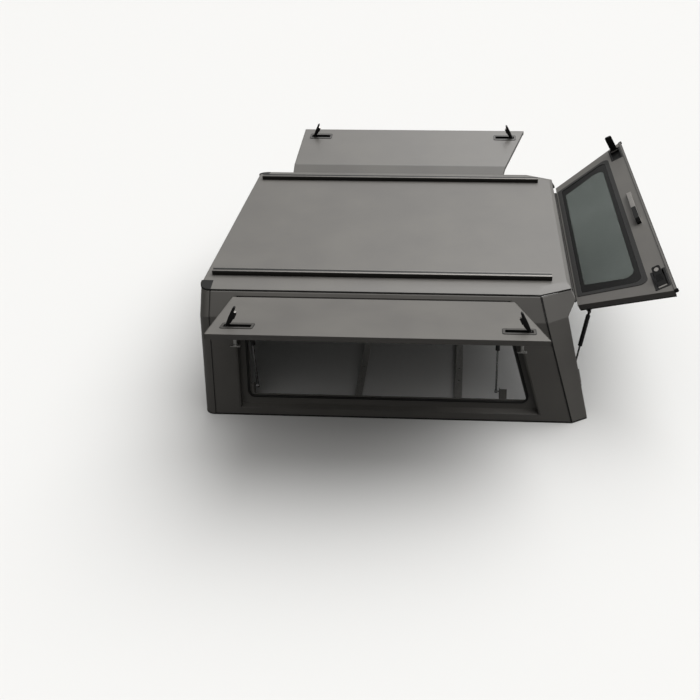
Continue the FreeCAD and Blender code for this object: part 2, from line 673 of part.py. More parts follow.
# Rubber in the upright seams between the panels
b = body("panel_seam_seals")
for s in (LEFT, RIGHT):
    profile = band(s, "0.8", "5", FLOOR, EAVE)
    sk = loop(sketch(b, names[s] + "_front", "YZ_Plane", "-Sizes.panel_gap / 2"), profile)
    pad(b, sk, "Sizes.panel_gap")
    early = raked("Sizes.side_length", EAVE) + " - Sizes.rear_gap"
    pad(b, loop(sketch(b, names[s] + "_rear", "YZ_Plane", early), profile),
        "Sizes.rear_slope * Sizes.seam_height + 2 * Sizes.rear_gap")
low_end = "-Sizes.roof_height"
high_end = "2 * Sizes.roof_height"
before = "(Sizes.side_length - Sizes.rear_gap / 2)"
after = "(Sizes.side_length + Sizes.rear_gap / 2)"
gap_front = [("Sizes.panel_gap", low_end),
             (raked(before, low_end), low_end),
             (raked(before, high_end), high_end),
             ("Sizes.panel_gap", high_end)]
gap_rear = [(raked(after, low_end), low_end),
            ("2 * Sizes.side_length", low_end),
            ("2 * Sizes.side_length", high_end),
            (raked(after, high_end), high_end)]
cut(b, loop(loop(sketch(b, "seams", "XZ_Plane"), gap_front), gap_rear))

# Rear header: channel between the pillars, with the rail for the rear door
b = body("rear_header")
top_half = "(Sizes.pillar_seam_y - Sizes.pillar_flange + 6)"
low_half = "(Sizes.pillar_seam_y - Sizes.pillar_flange + 54)"
low = "(Sizes.seam_height - 75)"
outer = [("-" + top_half, EAVE), ("-" + low_half, low), (low_half, low), (top_half, EAVE)]
inner = [("-" + top_half + " + 4", EAVE + " - 3"), ("-" + low_half + " + 4", low + " + 3"),
         (low_half + " - 4", low + " + 3"), (top_half + " - 4", EAVE + " - 3")]
sk = sketch(b, "face", "YZ_Plane", "Sizes.header_x - Sizes.header_depth")
pad(b, loop(sk, outer), "Sizes.header_depth")
cut(b, loop(sketch(b, "hollow", "YZ_Plane", "Sizes.header_x - 3"), inner), "Sizes.header_depth + 8")
rx = "Sizes.rear_hinge_x"
rz = "Sizes.rear_hinge_z"
neck = [(rx, rz + " - 2"), (rx, rz + " + 2"),
        ("Sizes.header_x", rz + " + 12"), ("Sizes.header_x", rz + " + 6")]
half_hinge = "(Sizes.rear_door_top_half - 40)"
pad(b, loop(sketch(b, "neck", "XZ_Plane"), neck), "2 * " + half_hinge, both=True)
bead = circle(sketch(b, "bead", "XZ_Plane"), rx, rz, "Sizes.hinge_bead_radius")
pad(b, bead, "2 * " + half_hinge, both=True)


# Cross bars: perforated flats that tie the two base flanges together
for tag in ("front", "rear"):
    b = body("cross_bar_" + tag)
    cx = "Sizes.cross_bar_%s_x" % tag
    w = "Sizes.cross_bar_width / 2"
    reach = "(" + lower(FLOOR) + " - 18)"
    top = FLOOR + " + Sizes.skin"
    flat = rect(cx + " - " + w, cx + " + " + w, "-" + reach, reach)
    pad(b, loop(sketch(b, "flat", "XY_Plane", top), flat), "3")
    pair = circle(sketch(b, "hole", "XY_Plane", top), cx, "-Sizes.bar_hole_out", "Sizes.bar_hole_radius")
    hole = cut(b, circle(pair, cx, "Sizes.bar_hole_out - Sizes.bar_hole_pitch", "Sizes.bar_hole_radius"))
    doc.recompute()
    rows = b.newObject("PartDesign::LinearPattern", "cross_bar_%s_holes" % tag)
    rows.Originals = [hole]
    rows.Direction = (origin_plane(b, "Y_Axis"), [""])
    rows.setExpression("Length", "Sizes.bar_hole_pitch")
    rows.Occurrences = 2
    b.Tip = rows

# Side doors, each drawn closed about its hinge and then swung open
HO = "Sizes.hinge_half_width"
HZ = "Sizes.hinge_height"
LEAN = "atan((Sizes.base_half_width - Sizes.crease_half_width) / Sizes.crease_height)"


def door_outline(inset):
    """Side view of the door, set in from its edges, measured from the hinge."""
    inset = "(%s)" % inset
    x0 = "Sizes.opening_front + Sizes.door_gap + %s" % inset
    z0 = "Sizes.door_bottom + %s" % inset
    z1 = "Sizes.door_top - %s" % inset
    edge = "1.04 * (Sizes.door_gap + %s)" % inset
    rear = "(Sizes.opening_rear + Sizes.rear_slope * Sizes.opening_sill - %s)" % edge
    return [(x0, z0 + " - " + HZ), (raked(rear, z0), z0 + " - " + HZ), (raked(rear, z1), z1 + " - " + HZ),
            (x0, z1 + " - " + HZ)]


def from_hinge(s, points):
    """Points of the closed cross-section, measured from the hinge."""
    return [("%d * (%s - %s)" % (s, y, HO), "%s - %s" % (z, HZ)) for y, z in points]


def swung(s, y, z):
    """Where a point of the closed door lies once the door is open."""
    a = "Sizes.%s_open_angle" % names[s]
    dy = "(%s - %s)" % (y, HO)
    dz = "(%s - %s)" % (z, HZ)
    return ("(%s + %s * cos(%s) - %s * sin(%s))" % (HO, dy, a, dz, a),
            "(%s + %s * sin(%s) + %s * cos(%s))" % (HZ, dy, a, dz, a))


def hang(b, s):
    """Put a piece that is drawn about the hinge in its open place."""
    b.setExpression("Placement", "placement(vector(0; %s; %s); rotationx(%d * Sizes.%s_open_angle))"
                    % (signed(s, HO), HZ, s, names[s]))


def on_face(b, s, x, turn=""):
    """Put a piece that is drawn on the lower face of the door in its open place."""
    y, z = swung(s, lower("Sizes.latch_height"), "Sizes.latch_height")
    face = "rotationx(%d * (Sizes.%s_open_angle * 1 deg + %s - 90 deg))" % (s, names[s], LEAN)
    b.setExpression("Placement", "placement(vector(%s; %s; %s); %s%s)" % (x, signed(s, y), z, face, turn))


for s in (LEFT, RIGHT):
    side = names[s]
    t = "Sizes.skin"
    span = "Sizes.opening_rear"
    # skin with its bottom fold
    b = body(side + "_door_skin")
    top = "Sizes.door_top"
    low = "Sizes.door_bottom"
    fold = [(upper(top), top), ("Sizes.crease_half_width", "Sizes.crease_height"), (lower(low), low),
            (lower(low) + " - Sizes.door_fold", low), (lower(low) + " - Sizes.door_fold", low + " + " + t),
            (lower(low + " + " + t) + " - " + t, low + " + " + t),
            ("Sizes.crease_half_width - " + t, "Sizes.crease_height"), (upper(top) + " - " + t, top)]
    pad(b, loop(sketch(b, "section", "YZ_Plane"), from_hinge(s, fold)), span)
    wide = rect("-400", "2200", "-900", "500")
    cut(b, loop(loop(sketch(b, "outline", "XZ_Plane"), wide), door_outline("0")))
    for tag in ("front", "rear"):
        lx = "Sizes.%s_latch_x" % tag
        lz = "Sizes.latch_height - " + HZ
        hl = "(Sizes.dish_length / 2 + 1)"
        hw = "(Sizes.dish_width / 2 + 1)"
        cut(b, loop(sketch(b, tag + "_latch_hole", "XZ_Plane"),
                    rect(lx + " - " + hl, lx + " + " + hl, lz + " - " + hw, lz + " + " + hw)))
    hang(b, s)

    # inner frame: open channel all round the back of the skin
    b = body(side + "_door_frame")
    sk = sketch(b, "walls", "XZ_Plane", signed(-s, "-140"))
    for inset in ("1", "3", "Sizes.door_frame_width - 2", "Sizes.door_frame_width"):
        loop(sk, door_outline(inset))
    pad(b, sk, "340", back=(s == RIGHT))
    d = "Sizes.door_frame_depth"
    cut(b, loop(sketch(b, "outside", "YZ_Plane"), from_hinge(s, [
        (lower("-30") + " - " + t, "-30"), ("Sizes.crease_half_width - " + t, "Sizes.crease_height"),
        (upper("600") + " - " + t, "600"), ("1100", "600"), ("1100", "-30")])))
    cut(b, loop(sketch(b, "inside", "YZ_Plane"), from_hinge(s, [
        (lower("-30") + " - " + d, "-30"), ("Sizes.crease_half_width - " + d, "Sizes.crease_height"),
        (upper("600") + " - " + d, "600"), ("300", "600"), ("300", "-30")])))
    plate = []
    for depth in (d, "(" + d + " - 2)"):
        line = [(lower("0") + " - " + depth, "0"),
                ("Sizes.crease_half_width - " + depth, "Sizes.crease_height"),
                (upper("560") + " - " + depth, "560")]
        plate += line if depth is d else list(reversed(line))
    pad(b, loop(sketch(b, "plate", "YZ_Plane"), from_hinge(s, plate)), span)
    cut(b, loop(loop(sketch(b, "trim", "XZ_Plane"), wide), door_outline("1")))
    cut(b, loop(sketch(b, "clear", "XZ_Plane"), door_outline("Sizes.door_frame_width")))
    notch = [(upper("445"), "445"), (upper("490"), "490"),
             (upper("490") + " - 4.9", "490"), (upper("445") + " - 4.9", "445")]
    cut(b, loop(sketch(b, "notch", "YZ_Plane"), from_hinge(s, notch)))
    low_notch = [(lower("0") + " + 5", "0"), (lower("0") + " + 5", low + " + " + t),
                 (lower("0") + " - 60", low + " + " + t), (lower("0") + " - 60", "0")]
    cut(b, loop(sketch(b, "low_notch", "YZ_Plane"), from_hinge(s, low_notch)))
    # lugs with the ball studs of the struts
    arm_o = "Sizes.strut_arm_out"
    arm_d = "Sizes.strut_arm_down"
    lug_low = "(Sizes.crease_height - 36)"
    lug_high = "(Sizes.crease_height - 3)"
    head_z = HZ + " - " + arm_d
    for tag, near, start, stud in (("front", "-46", "-15", "-13"), ("rear", "12", "12", "7.5")):
        sx = "Sizes.strut_%s_x + (%%s)" % tag
        foot = [(lower(lug_low) + " - " + d, lug_low), (lower(lug_high) + " - " + d, lug_high),
                (lower(lug_high) + " - " + d + " - 3", lug_high),
                (lower(lug_low) + " - " + d + " - 3", lug_low)]
        sk = sketch(b, tag + "_lug_foot", "YZ_Plane", sx % near)
        pad(b, loop(sk, from_hinge(s, [("(%s)" % y, z) for y, z in foot])), "34")
        tongue = [("(" + lower(lug_low) + " - " + d + ")", lug_low),
                  ("(" + lower(lug_high) + " - " + d + ")", lug_high),
                  (HO + " + " + arm_o + " - 8", head_z + " + 9"),
                  (HO + " + " + arm_o + " - 8", head_z + " - 9")]
        sk = sketch(b, tag + "_lug", "YZ_Plane", sx % start)
        pad(b, loop(sk, from_hinge(s, tongue)), "3")
        sk = sketch(b, tag + "_stud", "YZ_Plane", sx % stud)
        pad(b, circle(sk, "%d * (%s)" % (s, arm_o), "-" + arm_d, "4"), "5.5")
    hang(b, s)

    # hinge leaf: hook round the bead, with a leaf between skin and frame
    b = body(side + "_hinge_leaf")
    x0 = "Sizes.opening_front + Sizes.door_gap + 8"
    long = rail_end + " - Sizes.opening_front - 30"
    sk = circle(sketch(b, "hook", "YZ_Plane", x0), "0", "0", "Sizes.hinge_bead_radius + 2.5")
    pad(b, circle(sk, "0", "0", "Sizes.hinge_bead_radius + 0.5"), long)
    mouth = [("0", "0"), (signed(s, "-27"), "13"), ("0", "50"), (signed(s, "27"), "-4")]
    cut(b, loop(sketch(b, "mouth", "YZ_Plane"), mouth))
    leaf = [(upper("450") + " - 2.4", "450"), (upper("474") + " - 2.4", "474"),
            (upper("474") + " - 4.9", "474"), (upper("450") + " - 4.9", "450")]
    pad(b, loop(sketch(b, "leaf", "YZ_Plane", x0), from_hinge(s, leaf)), long)
    hang(b, s)

    # latch dishes: rim, tray, slot and the pin of the lever
    b = body(side + "_latch_dishes")
    pitch = "(Sizes.rear_latch_x - Sizes.front_latch_x)"
    hl = "Sizes.dish_length / 2"
    hw = "Sizes.dish_width / 2"
    for tag, cx in (("front", "0"), ("rear", pitch)):
        rim = rect(cx + " - " + hl + " - Sizes.dish_rim", cx + " + " + hl + " + Sizes.dish_rim",
                   "-" + hw + " - Sizes.dish_rim", hw + " + Sizes.dish_rim")
        pad(b, loop(sketch(b, tag + "_rim", "XY_Plane"), rim), "2")
    soften(b, "rim_corners", upright, "Sizes.dish_rim_radius")
    for tag, cx in (("front", "0"), ("rear", pitch)):
        tray = rect(cx + " - " + hl, cx + " + " + hl, "-" + hw, hw)
        pad(b, loop(sketch(b, tag + "_tray", "XY_Plane"), tray), "Sizes.dish_depth", back=True)
        slot = rect(cx + " - " + hl + " + 5", cx + " + " + hl + " - 5", "-" + hw + " + 9", hw + " - 9")
        cut(b, loop(sketch(b, tag + "_slot", "XY_Plane", "3"), slot), "Sizes.dish_depth + 1")
        px = cx + (" - " if tag == "front" else " + ") + hl + (" + 15" if tag == "front" else " - 15")
        pin = sketch(b, tag + "_pin", "XZ_Plane")
        pad(b, polygon(pin, 8, "2.4", px, "-3"), "Sizes.dish_width - 17", both=True)
    on_face(b, s, "Sizes.front_latch_x")

    # cams: shaft and cross tongue behind each latch
    b = body(side + "_latch_cams")
    for tag, cx in (("front", "0"), ("rear", pitch)):
        shaft = polygon(sketch(b, tag + "_shaft", "XY_Plane", "-Sizes.dish_depth"), 12, "6", cx, "0")
        pad(b, shaft, "Sizes.cam_length", back=True)
        tongue = rect(cx + " - 18", cx + " + 18", "-6", "6")
        sk = sketch(b, tag + "_tongue", "XY_Plane", "-Sizes.dish_depth - Sizes.cam_length")
        pad(b, loop(sk, tongue), "5", back=True)
    on_face(b, s, "Sizes.front_latch_x")

    # levers: each stands up out of its dish on the pin, with its lock housing towards the slot
    for tag, way in (("front", 1), ("rear", -1)):
        b = body("%s_%s_latch_lever" % (side, tag))
        sk = circle(sketch(b, "eye", "XZ_Plane"), "0", "0", "6")
        pad(b, polygon(sk, 8, "3"), "Sizes.lever_width", both=True)
        tip_x = "%d * Sizes.lever_length" % way
        arm = [("%d * 4.8" % way, "-3.5"), (tip_x, "-1.5"), (tip_x, "1.5"), ("%d * 4.8" % way, "3.5")]
        pad(b, loop(sketch(b, "arm", "XZ_Plane"), arm), "Sizes.lever_width", both=True)
        near = "%d * 0.42 * Sizes.lever_length" % way
        far = "%d * 0.8 * Sizes.lever_length" % way
        block = [(near, "-2"), (far, "-1.5"), (far, "-Sizes.lever_block_depth - 1.5"),
                 ("%s + %d * 10" % (near, way), "-Sizes.lever_block_depth - 1.5"), (near, "-10")]
        pad(b, loop(sketch(b, "block", "XZ_Plane"), block), "Sizes.lever_width", both=True)
        end = " - Sizes.dish_length / 2 + 15" if way == 1 else " + Sizes.dish_length / 2 - 15"
        y, z = swung(s, lower("Sizes.latch_height"), "Sizes.latch_height")
        face = "rotationx(%d * (Sizes.%s_open_angle * 1 deg + %s - 90 deg))" % (s, side, LEAN)
        on_door = "placement(vector(Sizes.%s_latch_x%s; %s; %s); %s)" % (tag, end, signed(s, y), z, face)
        raised = "placement(vector(0; 0; -3); rotationy(%d * (90 - Sizes.lever_lean)))" % -way
        b.setExpression("Placement", on_door + " * " + raised)

    # gas struts: rod on the foot bracket, tube towards the door
    fo = strut_foot_out()
    head_y, head_z = swung(s, HO + " + Sizes.strut_arm_out", HZ + " - Sizes.strut_arm_down")
    run = "(%s - %s)" % (head_y, fo)
    rise = "(%s - Sizes.strut_foot_z)" % head_z
    tilt = "rotationx(%d * atan2(%s; %s))" % (-s, run, rise)
    for tag in ("front", "rear"):
        sx = "Sizes.strut_%s_x" % tag
        b = body("%s_%s_strut_rod" % (side, tag))
        sk = circle(sketch(b, "eye", "YZ_Plane"), "0", "0", "7")
        pad(b, polygon(sk, 8, "3.5"), "12", both=True)
        rod = circle(sketch(b, "rod", "XY_Plane", "6"), "0", "0", "Sizes.strut_rod_radius")
        pad(b, rod, "Sizes.strut_rod_length - 6")
        b.setExpression("Placement", "placement(vector(%s; %s; Sizes.strut_foot_z); %s)"
                        % (sx, signed(s, fo), tilt))
        b = body("%s_%s_strut_tube" % (side, tag))
        pad(b, circle(sketch(b, "socket", "YZ_Plane"), "0", "0", "7"), "12", both=True)
        pad(b, polygon(sketch(b, "neck", "XY_Plane", "-4"), 6, "4.5"), "20", back=True)
        pad(b, circle(sketch(b, "tube", "XY_Plane", "-20"), "0", "0", "Sizes.strut_tube_radius"),
            "Sizes.strut_tube_length", back=True)
        bore = polygon(sketch(b, "bore", "XY_Plane", "-21 - Sizes.strut_tube_length"), 8,
                       "Sizes.strut_rod_radius + 0.6")
        cut(b, bore, "Sizes.strut_tube_length - 5", back=True)
        b.setExpression("Placement", "placement(vector(%s; %s; %s); %s)"
                        % (sx, signed(s, head_y), head_z, tilt))

# Rear door, drawn flat from its hinge: X down the door, Z out of its face
RX = "Sizes.rear_hinge_x"
RZ = "Sizes.rear_hinge_z"


def hang_rear(b, inner=""):
    b.setExpression("Placement", "placement(vector(%s; 0; %s); rotationy(-Sizes.rear_open_angle))%s"
                    % (RX, RZ, inner))


def rear_outline(inset):
    """Outline of the rear door, set in from its edges."""
    inset = "(%s)" % inset
    a = "Sizes.rear_door_front + %s" % inset
    c = "Sizes.rear_door_length - %s" % inset
    return [(a, "-(%s - 1.1 * %s)" % (rear_half(a), inset)), (c, "-(%s - 1.1 * %s)" % (rear_half(c), inset)),
            (c, "%s - 1.1 * %s" % (rear_half(c), inset)), (a, "%s - 1.1 * %s" % (rear_half(a), inset))]


def glass(grow):
    """Outline of the glass, grown on every edge."""
    top_half = "(" + rear_half("Sizes.glass_top") + " - Sizes.glass_top_margin)"
    low_half = "(" + rear_half("Sizes.glass_low") + " - Sizes.glass_low_margin)"
    k = "(%s - %s) / (Sizes.glass_low - Sizes.glass_top)" % (low_half, top_half)
    a = "Sizes.glass_top - (%s)" % grow
    c = "Sizes.glass_low + %s" % grow
    ha = "%s + (1.08 - %s) * (%s)" % (top_half, k, grow)
    hc = "%s + (1.08 + %s) * (%s)" % (low_half, k, grow)
    return [(a, "-(%s)" % ha), (c, "-(%s)" % hc), (c, hc), (a, ha)]


def round_glass(b):
    """Round the corners of every outline of the glass that a piece has."""
    slope = (sheet.rear_door_low_half - sheet.rear_door_top_half) / sheet.rear_door_length
    early, late = sheet.glass_top - 20, sheet.glass_low + 20
    middle = (early + late) / 2

    def near_glass(e, low, high):
        p = e.Vertexes[0].Point
        return upright(e) and low < p.x < high and abs(p.y) < sheet.rear_door_top_half + slope * p.x - 40

    soften(b, "top_corners", lambda e: near_glass(e, early, middle), "Sizes.glass_top_radius")
    soften(b, "low_corners", lambda e: near_glass(e, middle, late), "Sizes.glass_low_radius")


TOP = "Sizes.rear_outer_offset"
BACK = "(Sizes.rear_outer_offset - Sizes.rear_door_depth)"
b = body("rear_door_frame")
pad(b, loop(sketch(b, "form", "XY_Plane", BACK), rear_outline("0")), "Sizes.rear_door_depth")
sk = sketch(b, "hollow", "XY_Plane", BACK)
cut(b, loop(sk, rear_outline("Sizes.skin")), "Sizes.rear_door_depth - Sizes.skin", back=True)
pad(b, loop(loop(sketch(b, "inner_panel", "XY_Plane", BACK), rear_outline("1")), glass("12")), "2")
sk = sketch(b, "inner_wall", "XY_Plane", BACK)
pad(b, loop(loop(sk, glass("14")), glass("12")), "Sizes.rear_door_depth - 1")
cut(b, loop(sketch(b, "window", "XY_Plane"), glass("3")))
round_glass(b)
LT = "Sizes.rear_latch_along"
LY = "(Sizes.rear_door_low_half - Sizes.rear_latch_margin)"


def latch_rect(s, inset):
    """Outline of a rear latch, set in from its rim on every edge."""
    c = signed(s, LY)
    w = "Sizes.rear_latch_width / 2"
    n = "Sizes.rear_latch_length / 2"
    return rect(LT + " - " + w + " + " + inset, LT + " + " + w + " - " + inset,
                c + " - " + n + " + " + inset, c + " + " + n + " - " + inset)


for tag, s in (("left", LEFT), ("right", RIGHT)):
    cut(b, loop(sketch(b, tag + "_latch_hole", "XY_Plane", TOP + " + 1"), latch_rect(s, "4")), "6")
    ly = "(" + REAR_STRUT_Y + " - 13)"
    lug = [("Sizes.rear_strut_arm - 14", BACK), ("Sizes.rear_strut_arm + 14", BACK),
           ("Sizes.rear_strut_arm + 8", "-Sizes.rear_strut_drop - 8"),
           ("Sizes.rear_strut_arm - 8", "-Sizes.rear_strut_drop - 8")]
    pad(b, loop(sketch(b, tag + "_lug", "XZ_Plane", signed(-s, ly + " - 2.5")), lug), "3", back=(s == RIGHT))
    pin = sketch(b, tag + "_pin", "XZ_Plane", signed(-s, ly))
    pad(b, polygon(pin, 8, "2.8", "Sizes.rear_strut_arm", "-Sizes.rear_strut_drop"), "20", back=(s == RIGHT))
hang_rear(b)

b = body("rear_glass")
pad(b, loop(sketch(b, "pane", "XY_Plane", TOP + " - Sizes.pane"), glass("0")), "Sizes.pane")
round_glass(b)
hang_rear(b)

b = body("rear_glass_seal")
pad(b, loop(loop(sketch(b, "lip", "XY_Plane", TOP), glass("10")), glass("-10")), "2")
sk = sketch(b, "throat", "XY_Plane", TOP + " - Sizes.pane")
pad(b, loop(loop(sk, glass("3")), glass("0")), "Sizes.pane")
pad(b, loop(loop(sketch(b, "stop", "XY_Plane", TOP + " - Sizes.pane - 3"), glass("3")), glass("-8")), "3")
round_glass(b)
hang_rear(b)

b = body("rear_door_edge_seal")
pad(b, loop(loop(sketch(b, "bulb", "XY_Plane", BACK), rear_outline("1")), rear_outline("13")), "7", back=True)
hang_rear(b)

b = body("rear_hinge_leaf")
sk = circle(sketch(b, "hook", "XZ_Plane"), "0", "0", "Sizes.hinge_bead_radius + 2.5")
reach = "2 * (Sizes.rear_door_top_half - 44)"
pad(b, circle(sk, "0", "0", "Sizes.hinge_bead_radius + 0.5"), reach, both=True)
cut(b, loop(sketch(b, "mouth", "XZ_Plane"), [("0", "0"), ("-9", "35"), ("-50", "0"), ("6", "-30")]))
pad(b, loop(sketch(b, "web", "XZ_Plane"), rect("4.9", "Sizes.rear_door_front", "-3", "3")), reach, both=True)
hang_rear(b)

b = body("rear_latch_bases")
for tag, s in (("left", LEFT), ("right", RIGHT)):
    pad(b, loop(sketch(b, tag + "_rim", "XY_Plane", TOP), latch_rect(s, "0")), "1.5")
    pad(b, loop(sketch(b, tag + "_tray", "XY_Plane", TOP), latch_rect(s, "5")), "16", back=True)
    cut(b, loop(sketch(b, tag + "_well", "XY_Plane", TOP + " + 2"), latch_rect(s, "8")), "16")
    pin = sketch(b, tag + "_pin", "YZ_Plane", LT)
    pin_y = "%d * (%s + Sizes.paddle_length / 2)" % (s, LY)
    pad(b, polygon(pin, 8, "2.4", pin_y, TOP + " - 4"), "48", both=True)
hang_rear(b)

# Paddles: each lifts out of its well on the pin, with the ring of its lock near the free end
for tag, s in (("left", LEFT), ("right", RIGHT)):
    b = body("rear_latch_%s_paddle" % tag)
    sk = circle(sketch(b, "eye", "YZ_Plane"), "0", "0", "5")
    pad(b, polygon(sk, 8, "3"), "Sizes.paddle_width", both=True)
    blade = rect("%d * 3.8" % -s, "%d * Sizes.paddle_length" % -s, "-3", "3")
    pad(b, loop(sketch(b, "blade", "YZ_Plane"), blade), "Sizes.paddle_width", both=True)
    half = sheet.paddle_length / 2
    soften(b, "free_corners", lambda e: upright(e) and abs(e.Vertexes[0].Y) > half, "Sizes.key_radius")
    ring = sketch(b, "ring", "XY_Plane", "3")
    ring_y = "%d * (Sizes.paddle_length - 2 * Sizes.key_radius)" % -s
    pad(b, circle(ring, "0", ring_y, "Sizes.key_radius"), "1")
    hang_rear(b, " * placement(vector(%s; %d * (%s + Sizes.paddle_length / 2); Sizes.rear_outer_offset - 4); "
                 "rotationx(%d * Sizes.paddle_%s_lift))" % (LT, s, LY, -s, tag))

# Pull handle: a bar that stands off the door, with a thicker grip towards the left
b = body("rear_pull_handle")
gap = "Sizes.pull_gap"
profile = [(1, "0"), (0.85, "0"), (0.76, gap), (-0.6, gap), (-0.7, "0"), (-1, "0"),
           (-1, gap + " - 6"), (-0.94, gap + " + 10"), (-0.38, gap + " + 15"),
           (-0.24, gap + " + 10"), (0.76, gap + " + 7"), (1, "5")]
side_view = [("%g * Sizes.pull_length / 2" % y, TOP + " + " + z) for y, z in profile]
pad(b, loop(sketch(b, "profile", "YZ_Plane", "Sizes.pull_along"), side_view), "Sizes.pull_width", both=True)
hang_rear(b)

# Drip edge along the lower edge of the rear door
b = body("rear_door_lip")
end = "Sizes.rear_door_length"
half = "(Sizes.rear_door_low_half - 2)"
edge = rect(end, end + " + Sizes.rear_lip_width", "-" + half, half)
pad(b, loop(sketch(b, "lip", "XY_Plane", TOP + " + 2"), edge), "12", back=True)
hang_rear(b)

# Rear struts
bx = ("(Sizes.rear_hinge_x + Sizes.rear_strut_arm * cos(Sizes.rear_open_angle)"
      " + Sizes.rear_strut_drop * sin(Sizes.rear_open_angle))")
bz = ("(Sizes.rear_hinge_z + Sizes.rear_strut_arm * sin(Sizes.rear_open_angle)"
      " - Sizes.rear_strut_drop * cos(Sizes.rear_open_angle))")
tilt = "rotationy(atan2(%s - Sizes.rear_strut_foot_x; %s - Sizes.rear_strut_foot_z))" % (bx, bz)
for tag, s in (("left", LEFT), ("right", RIGHT)):
    y = signed(s, REAR_STRUT_Y)
    b = body("rear_%s_strut_rod" % tag)
    pad(b, circle(sketch(b, "socket", "XZ_Plane"), "0", "0", "7"), "12", both=True)
    rod = circle(sketch(b, "rod", "XY_Plane", "5"), "0", "0", "Sizes.strut_rod_radius")
    pad(b, rod, "Sizes.rear_rod_length - 5")
    b.setExpression("Placement", "placement(vector(Sizes.rear_strut_foot_x; %s; Sizes.rear_strut_foot_z); %s)"
                    % (y, tilt))
    b = body("rear_%s_strut_tube" % tag)
    eye = circle(sketch(b, "eye", "XZ_Plane"), "0", "0", "7")
    pad(b, polygon(eye, 8, "3.5"), "12", both=True)
    pad(b, polygon(sketch(b, "neck", "XY_Plane", "-5.5"), 6, "4.5"), "16", back=True)
    pad(b, circle(sketch(b, "tube", "XY_Plane", "-20"), "0", "0", "Sizes.strut_tube_radius"),
        "Sizes.rear_tube_length", back=True)
    bore = polygon(sketch(b, "bore", "XY_Plane", "-21 - Sizes.rear_tube_length"), 8,
                   "Sizes.strut_rod_radius + 0.6")
    cut(b, bore, "Sizes.rear_tube_length - 5", back=True)
    b.setExpression("Placement", "placement(vector(%s; %s; %s); %s)" % (bx, y, bz, tilt))

# Check every object, then write each piece to its own file
doc.recompute()
bad = [o.Name for o in doc.Objects if "Invalid" in o.State or "Error" in o.State]
if bad:
    raise RuntimeError("not valid: " + ", ".join(bad))
for piece in pieces:
    if piece.Shape.isNull() or not piece.Shape.isValid():
        raise RuntimeError(piece.Name + " has no valid shape")
    piece.Shape.exportStep("parts/" + piece.Label + ".step")
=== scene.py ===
# %% [markdown]
# # A pickup canopy with its three doors open
# The canopy is a box of folded steel sheet with a satin powder coat. The joints, the sheets and
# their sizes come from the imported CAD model, which is loaded here as a fixed frame. This script gives
# every piece its folds, its finish and the light of a plain studio.

# %% Load the frame
import json
import math

import bmesh
import bpy
from mathutils import Matrix, Vector

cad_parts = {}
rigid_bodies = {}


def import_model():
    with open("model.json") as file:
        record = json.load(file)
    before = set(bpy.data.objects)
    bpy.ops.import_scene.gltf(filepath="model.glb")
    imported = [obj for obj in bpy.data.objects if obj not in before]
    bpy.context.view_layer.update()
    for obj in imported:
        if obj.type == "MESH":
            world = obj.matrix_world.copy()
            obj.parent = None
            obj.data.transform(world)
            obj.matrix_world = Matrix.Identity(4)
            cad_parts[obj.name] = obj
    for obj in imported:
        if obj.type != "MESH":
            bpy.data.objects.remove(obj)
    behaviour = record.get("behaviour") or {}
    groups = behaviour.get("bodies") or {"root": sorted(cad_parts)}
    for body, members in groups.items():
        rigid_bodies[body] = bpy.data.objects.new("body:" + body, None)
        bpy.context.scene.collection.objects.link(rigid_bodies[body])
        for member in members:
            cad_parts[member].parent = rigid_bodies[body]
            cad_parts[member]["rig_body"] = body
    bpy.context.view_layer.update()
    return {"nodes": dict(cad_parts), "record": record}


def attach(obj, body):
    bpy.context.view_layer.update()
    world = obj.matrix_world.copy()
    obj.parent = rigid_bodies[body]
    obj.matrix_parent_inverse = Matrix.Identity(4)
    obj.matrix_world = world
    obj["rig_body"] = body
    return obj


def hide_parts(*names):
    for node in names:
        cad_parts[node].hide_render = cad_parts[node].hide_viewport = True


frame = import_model()
nodes = frame["nodes"]
print("pieces in the frame:", len(nodes))

# %% [markdown]
# Colours are written as the hex codes that a paint chart gives. Blender's shaders want linear light,
# so one function turns one into the other.


# %% Colour of a paint
def paint(code):
    """Linear colour from an sRGB hex code."""
    parts = [int(code[i:i + 2], 16) / 255 for i in (1, 3, 5)]
    return tuple(c / 12.92 if c <= 0.04045 else ((c + 0.055) / 1.055) ** 2.4 for c in parts) + (1.0,)


print("mid grey in linear light:", round(paint("#808080")[0], 3))

# %% [markdown]
# A material is a small tree of nodes. One function adds a node with its settings and its links, and
# another starts an empty material, so a finish reads as a short list of what lies on the metal.


# %% Nodes and empty materials
def add(tree, kind, links=None, **settings):
    """Add a node; links go to its sockets by name, the rest are the node's own settings."""
    node = tree.nodes.new(kind)
    for key, value in settings.items():
        setattr(node, key, value)
    for socket, source in (links or {}).items():
        if isinstance(source, bpy.types.NodeSocket):
            tree.links.new(source, node.inputs[socket])
        else:
            node.inputs[socket].default_value = source
    return node


def finish_of(name):
    """An empty material: its tree and the shader that it ends in."""
    mat = bpy.data.materials.new(name)
    mat.use_nodes = True
    tree = mat.node_tree
    tree.nodes.clear()
    shader = add(tree, "ShaderNodeBsdfPrincipled")
    out = add(tree, "ShaderNodeOutputMaterial")
    tree.links.new(shader.outputs[0], out.inputs["Surface"])
    print("finish:", name)
    return mat, tree, shader


# %% [markdown]
# No real surface has one even tone. Noise in Object coordinates stays with a piece when it turns, so
# it drives the colour, the roughness and the bumps, each within a narrow range. Grain that is too
# fine to show from here, such as that of a mould, of rubber or of paint, is drawn 2 to 6 mm wide.


# %% Noise that drives colour, roughness and bumps
def grain(tree, size, detail=2.0, rough=0.5):
    """Noise whose lumps are about the given size in metres."""
    place = add(tree, "ShaderNodeTexCoord")
    return add(tree, "ShaderNodeTexNoise", {"Vector": place.outputs["Object"], "Scale": 1 / size,
                                            "Detail": detail, "Roughness": rough}).outputs["Fac"]


